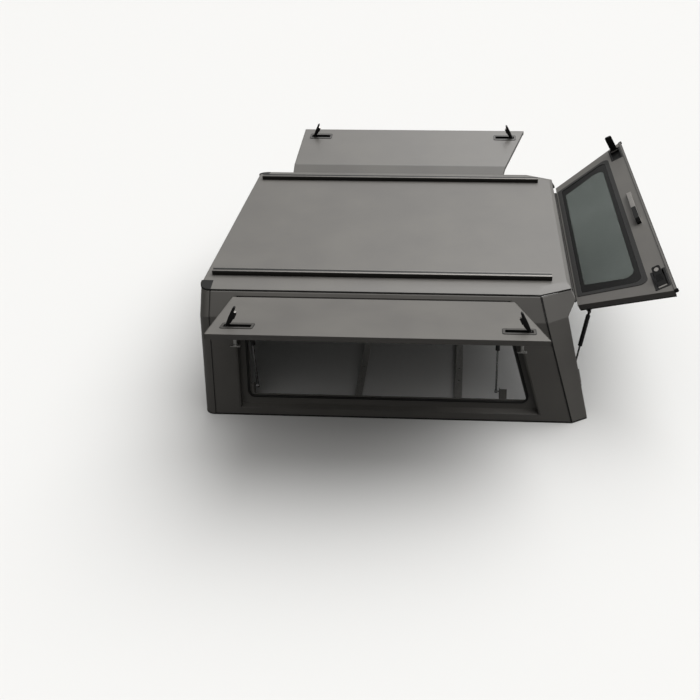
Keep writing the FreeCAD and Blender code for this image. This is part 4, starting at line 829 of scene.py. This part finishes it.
# A black cord round each rim: painted shade between the rim and the door.
for side in both_sides:
    points = [v.co for v in nodes[side + "_latch_dishes"].data.vertices]
    middle = (min(p.x for p in points) + max(p.x for p in points)) / 2
    halves = [[p for p in points if p.x < middle], [p for p in points if p.x > middle]]
    rims = [rim_outline(h, door_up[side], along_x, shade_cord_sunk) for h in halves]
    cord(side + "_latch_gaskets", side + "_gasket_path", rims, side + "_door", corner=0.009, radius=0.0016)

# %% [markdown]
# ## Rear door
# The rear door stands open at 29.1 degrees above level. Everything added to it is placed along the
# door, across it and above its face, measured from the hinge, so one function turns such a place into
# a point of the scene.

# %% Plane of the rear door
opened = math.radians(29.1)
down_door = Vector((math.cos(opened), 0, math.sin(opened)))
off_door = Vector((-math.sin(opened), 0, math.cos(opened)))
across_door = Vector((0, 1, 0))
hinge = Vector((1.494, 0, 0.436))


def on_rear_door(along, across, above):
    """Point of the scene at a distance down the door, across it and above it."""
    return hinge + down_door * along + across_door * across + off_door * above


print("lower edge of the rear door at", [round(c, 3) for c in on_rear_door(0.4, 0, 0)])

# %% [markdown]
# The rear latches get a thinner cord of painted shade with tighter corners. Their rims lie in the
# plane of the door, so the same outline rule finds them.

# %% Cords of painted shade round the rear latches
points = [v.co for v in nodes["rear_latch_bases"].data.vertices]
rims = [rim_outline([p for p in points if p.y * s > 0], off_door, down_door, shade_cord_sunk) for s in (-1, 1)]
# A black cord round each rear rim: painted shade between the rim and the door.
cord("rear_latch_gaskets", "rear_gasket_path", rims, "rear_door", corner=0.004, radius=0.0011)

# %% [markdown]
# Along the lower edge of the rear door runs an extruded drip edge. Two fine dark lines show where it
# meets the door and its own rubber, and a black plug closes each end.

# %% Joint lines and end plugs of the drip edge
drip_half, drip_above, drip_lines, drip_radius = 0.754, 0.0085, (0.3853, 0.3955), 0.0011
joints_of_edge = [[on_rear_door(a, y, drip_above) for y in (-drip_half, drip_half)] for a in drip_lines]
cord("drip_edge_lines", "drip_edge_path", joints_of_edge, "rear_door", corner=0.0, radius=drip_radius,
     shut=False)

# The plug's outline in millimetres: down the door, then above it.
plug_profile = [(383, -4), (383, 9.5), (395, 10.8), (400, 9.5), (400, -2), (396, -5)]
plug_y, plug_half_width, plug_edge = 0.7555, 0.003, 0.0009
for side, s in (("left", -1), ("right", 1)):
    plug = [on_rear_door(a / 1000, s * plug_y, h / 1000) for a, h in plug_profile]
    plug_mesh = prism(side + "_plug", plug, plug_half_width, across_door, plug_edge)
    collect(side + "_drip_edge_plug", plug_mesh, nylon, "rear_door")
print("plugs:", len(plug_profile), "points each")

# %% [markdown]
# ## Ribs
# The paddles have a row of fine ribs for the fingers: one rib repeated at an even pitch, which is the
# plainest use of instances.

# %% Tree that repeats a rounded rib along a line
rib_tree, rib_in, rib_out = group("rib_row", [
    ("Count", "Int", 5), ("Step", "Vector", (0.004, 0, 0)), ("Start", "Vector", (0, 0, 0)),
    ("Rib from", "Vector", (0, 0, 0)), ("Rib to", "Vector", (0, 0.02, 0)), ("Rib radius", "Float", 0.0008),
    ("Finish", "Material", None)])
row = add(rib_tree, "GeometryNodeMeshLine", {
    "Count": rib_in.outputs["Count"], "Start Location": rib_in.outputs["Start"],
    "Offset": rib_in.outputs["Step"]}, mode="OFFSET")
bar = add(rib_tree, "GeometryNodeCurvePrimitiveLine", {
    "Start": rib_in.outputs["Rib from"], "End": rib_in.outputs["Rib to"]})
round_bar = add(rib_tree, "GeometryNodeCurvePrimitiveCircle", {
    "Resolution": 8, "Radius": rib_in.outputs["Rib radius"]})
rib = add(rib_tree, "GeometryNodeCurveToMesh", {
    "Curve": bar.outputs["Curve"], "Fill Caps": True, "Profile Curve": round_bar.outputs["Curve"]})
ribs = add(rib_tree, "GeometryNodeInstanceOnPoints", {
    "Points": row.outputs["Mesh"], "Instance": rib.outputs["Mesh"]})
end_tree(rib_tree, ribs.outputs["Instances"], rib_in, rib_out)

# %% [markdown]
# The ribs run across the blade between its hinge and the lock ring. On the underside of the blade,
# seen when the paddle stands up, a small plate covers the back of the lock.

# %% Ribs and lock plates of the paddles
rib_count, rib_start, rib_pitch, rib_half, rib_radius = 6, 0.030, 0.0055, 0.0125, 0.0009
rib_lift, blade_reach = 0.0001, 0.05
plate_along, plate_below = 0.080, 0.0061
plate_half_width, plate_half_length, plate_half_depth, plate_edge = 0.009, 0.012, 0.0007, 0.0005


def finger_ribs(name, base, blade):
    """Row of ribs on a paddle, from the foot of its blade."""
    grown(name + "_ribs", rib_tree, bpy.data.meshes.new(name + "_seed"),
          {"Count": rib_count, "Start": tuple(base + blade * rib_start), "Step": tuple(blade * rib_pitch),
           "Rib from": tuple(-down_door * rib_half), "Rib to": tuple(down_door * rib_half),
           "Rib radius": rib_radius, "Finish": nylon}, name)


def lock_plate(name, base, blade, n):
    """Plate under the blade, behind the lock ring."""
    centre = base + blade * plate_along - n * plate_below
    w, d = down_door * plate_half_width, blade * plate_half_length
    plate = [centre - w - d, centre + w - d, centre + w + d, centre - w + d]
    collect(name + "_lock_plate", prism(name + "_plate", plate, plate_half_depth, n, plate_edge), zinc, name)


for side in both_sides:
    name = "rear_latch_%s_paddle" % side
    n, level = outward(looks[name].data)
    pivot = pivots[name]
    blade = n.cross(down_door).normalized()
    if max((v.co - pivot).dot(blade) for v in looks[name].data.vertices) < blade_reach:
        blade = -blade
    base = pivot + n * (level - pivot.dot(n) + rib_lift)
    finger_ribs(name, base, blade)
    lock_plate(name, base, blade, n)

# %% [markdown]
# ## Glass of the rear door
# Bonded car glass carries a black ceramic band on its inner face, which hides the glue. It is printed,
# so it is drawn as a very thin film under the pane: the outer edge follows the glass, the inner edge
# is the clear area, wider at the sides than above and below. A ring of plain four-sided faces keeps
# the film flat, which one face with a hole in it would not.


# %% Rounded outline in the plane of the rear door
arc_steps = 8


def soft_outline(corners, radii):
    """Points of a closed outline whose corners are arcs."""
    points = []
    for i, (corner, r) in enumerate(zip(corners, radii)):
        p = Vector(corner)
        before = (Vector(corners[i - 1]) - p).normalized()
        after = (Vector(corners[(i + 1) % len(corners)]) - p).normalized()
        half = before.angle(after) / 2
        start = p + before * r / math.tan(half)
        end = p + after * r / math.tan(half)
        centre = p + (before + after).normalized() * r / math.sin(half)
        for k in range(arc_steps + 1):
            chord = start.lerp(end, k / arc_steps) - centre
            points.append(centre + chord.normalized() * r)
    return points


def flat_band(name, outer, inner, thickness):
    """Thin plate between two outlines that have the same number of points."""
    bm = bmesh.new()
    rings = [[bm.verts.new((p.x, p.y, 0)) for p in outline] for outline in (outer, inner)]
    count = len(outer)
    faces = [bm.faces.new([rings[0][i], rings[0][(i + 1) % count], rings[1][(i + 1) % count], rings[1][i]])
             for i in range(count)]
    copied = bmesh.ops.extrude_face_region(bm, geom=faces)["geom"]
    lifted = [v for v in copied if isinstance(v, bmesh.types.BMVert)]
    bmesh.ops.translate(bm, vec=(0, 0, thickness), verts=lifted)
    bmesh.ops.recalc_face_normals(bm, faces=bm.faces)
    mesh = bpy.data.meshes.new(name)
    bm.to_mesh(mesh)
    bm.free()
    return mesh


# %% Ceramic band
def upright_shape(near_x, near_half, far_x, far_half):
    """Corners of a pane that widens down the door: distance from the hinge and half-width."""
    return [(near_x, -near_half), (far_x, -far_half), (far_x, far_half), (near_x, near_half)]


band_thickness, band_above = 0.0003, 0.0017
pane = soft_outline(upright_shape(0.0265, 0.511, 0.2955, 0.625), [0.012, 0.028, 0.028, 0.012])
clear = soft_outline(upright_shape(0.053, 0.446, 0.263, 0.551), [0.014, 0.034, 0.034, 0.014])
band = flat_band("ceramic_band", pane, clear, band_thickness)
band.transform(Matrix((down_door, across_door, off_door)).transposed().to_4x4())
band.transform(Matrix.Translation(on_rear_door(0, 0, band_above)))
collect("ceramic_band", band, frit, "rear_door")
print("ceramic band has", len(band.polygons), "faces")

# %% [markdown]
# ## Studio
# A plain pale floor and soft light from above. The floor looks pale to the camera and through the
# glass, but it sends little light back up, so the underside of the open doors stays as dark as it is
# over real ground. A light-path node tells the rays apart.

# %% Floor
half_floor = 30
seen_in_gloss = 0.3
floor_corners = [(x * half_floor, y * half_floor, 0) for x, y in ((-1, -1), (1, -1), (1, 1), (-1, 1))]
floor_mesh = bpy.data.meshes.new("floor")
floor_mesh.from_pydata(floor_corners, [], [(0, 1, 2, 3)])
floor = bpy.data.objects.new("floor", floor_mesh)
bpy.context.scene.collection.objects.link(floor)
floor_mat, tree, shader = finish_of("pale_studio_floor")
rays = add(tree, "ShaderNodeLightPath")


def both(first, second, operation):
    """Two levels of light put together by a sum, a product or the larger of them."""
    return add(tree, "ShaderNodeMath", {0: first, 1: second}, operation=operation).outputs[0]


straight = both(rays.outputs["Is Camera Ray"], rays.outputs["Is Transmission Ray"], "MAXIMUM")
mirrored = both(rays.outputs["Is Glossy Ray"], seen_in_gloss, "MULTIPLY")
seen = both(straight, mirrored, "MAXIMUM")
dark_floor, pale_floor = paint("#3e3d3c"), paint("#dfdfde")
tone = add(tree, "ShaderNodeMix", {"Factor": seen, 6: dark_floor, 7: pale_floor}, data_type="RGBA")
tree.links.new(tone.outputs[2], shader.inputs["Base Color"])
shader.inputs["Roughness"].default_value = 0.9
shader.inputs["Specular IOR Level"].default_value = 0.1
floor_mesh.materials.append(floor_mat)

# %% [markdown]
# The sky stands for the walls and the ceiling of the studio. It is bright overhead and dark at the
# horizon, so that flat tops shine and upright sides stay dark, and brighter on the far side, so that
# the roof gets lighter away from the camera. Ramps along X, Y and Z do this without a picture.

# %% Sky: a lit ceiling, brighter on the far side, over dark walls
world = bpy.data.worlds.new("studio_sky")
bpy.context.scene.world = world
world.use_nodes = True
tree = world.node_tree
tree.nodes.clear()
where = add(tree, "ShaderNodeTexCoord")
axes = add(tree, "ShaderNodeSeparateXYZ", {0: where.outputs["Generated"]}).outputs


def ramp_of(axis, start, end, low, high):
    """Level that changes smoothly along one direction of the sky."""
    return add(tree, "ShaderNodeMapRange", {
        "Value": axes[axis], "From Min": start, "From Max": end, "To Min": low, "To Max": high},
        interpolation_type="SMOOTHSTEP").outputs[0]


ceiling = both(ramp_of("Z", 0.35, 0.9, 0.03, 1.0), ramp_of("X", -0.7, 0.2, 0.35, 1.0), "MULTIPLY")
far_wall = both(ramp_of("Y", 0.1, 0.8, 0.0, 1.0), ramp_of("X", -0.4, 0.15, 0.2, 1.0), "MULTIPLY")
far_wall = both(far_wall, ramp_of("Z", 0.1, 0.7, 0.1, 1.9), "MULTIPLY")
rear_wall = ramp_of("X", 0.3, 0.9, 0.0, 0.15)
brightness = both(both(ceiling, far_wall, "ADD"), rear_wall, "ADD")
sky = add(tree, "ShaderNodeBackground", {"Color": (1.0, 0.99, 0.975, 1), "Strength": brightness})
add(tree, "ShaderNodeOutputWorld", {"Surface": sky.outputs[0]})
print("sky:", len(tree.nodes), "nodes")

# %% [markdown]
# A wide softbox high on the far side is the main light. A sun lamp with a large angle gives the same
# soft shadow at every distance, which suits a floor as large as this one.

# %% One wide soft light from the far side, high up
to_softbox = Vector((0.36, 0.42, 0.83))
lamp_data = bpy.data.lights.new("far_side_softbox", "SUN")
lamp_data.energy = 2.1
lamp_data.angle = math.radians(60)
lamp = bpy.data.objects.new("far_side_softbox", lamp_data)
lamp.rotation_euler = to_softbox.to_track_quat("Z", "Y").to_euler()
bpy.context.scene.collection.objects.link(lamp)
print("softbox stands", round(math.degrees(math.asin(to_softbox.normalized().z))), "degrees above level")

# %% [markdown]
# ## Camera
# The photograph was cropped out of a wider one, so its middle isn't where the lens points: the
# shift puts that right. The place and the turn come from the canopy's own straight edges.

# %% Camera
photo_width = 700                        # pixels
focal_length = 857.6072                  # pixels
lens_x, lens_y = 422.92, 310.85          # pixel that the lens points at, from the top left corner
sensor_width = 36                        # millimetres
camera_place = (1.0519728, -3.5703461, 2.2857509)
yaw, pitch, roll = -0.0611, 0.5603, -0.013
ahead = Vector((math.sin(yaw) * math.cos(pitch), math.cos(yaw) * math.cos(pitch), -math.sin(pitch)))
level = Vector((math.cos(yaw), -math.sin(yaw), 0))
upright = level.cross(ahead)
right = math.cos(roll) * level + math.sin(roll) * upright
up = -math.sin(roll) * level + math.cos(roll) * upright
cam_data = bpy.data.cameras.new("camera")
cam_data.sensor_width = sensor_width
cam_data.lens = focal_length * sensor_width / photo_width
cam_data.shift_x = (photo_width / 2 - lens_x) / photo_width
cam_data.shift_y = (lens_y - photo_width / 2) / photo_width
camera = bpy.data.objects.new("camera", cam_data)
turn = Matrix((right, up, -ahead)).transposed().to_4x4()
camera.matrix_world = Matrix.Translation(camera_place) @ turn
bpy.context.scene.collection.objects.link(camera)
bpy.context.scene.camera = camera
bpy.context.scene.view_settings.view_transform = "Standard"
print("lens:", round(cam_data.lens, 1), "mm")
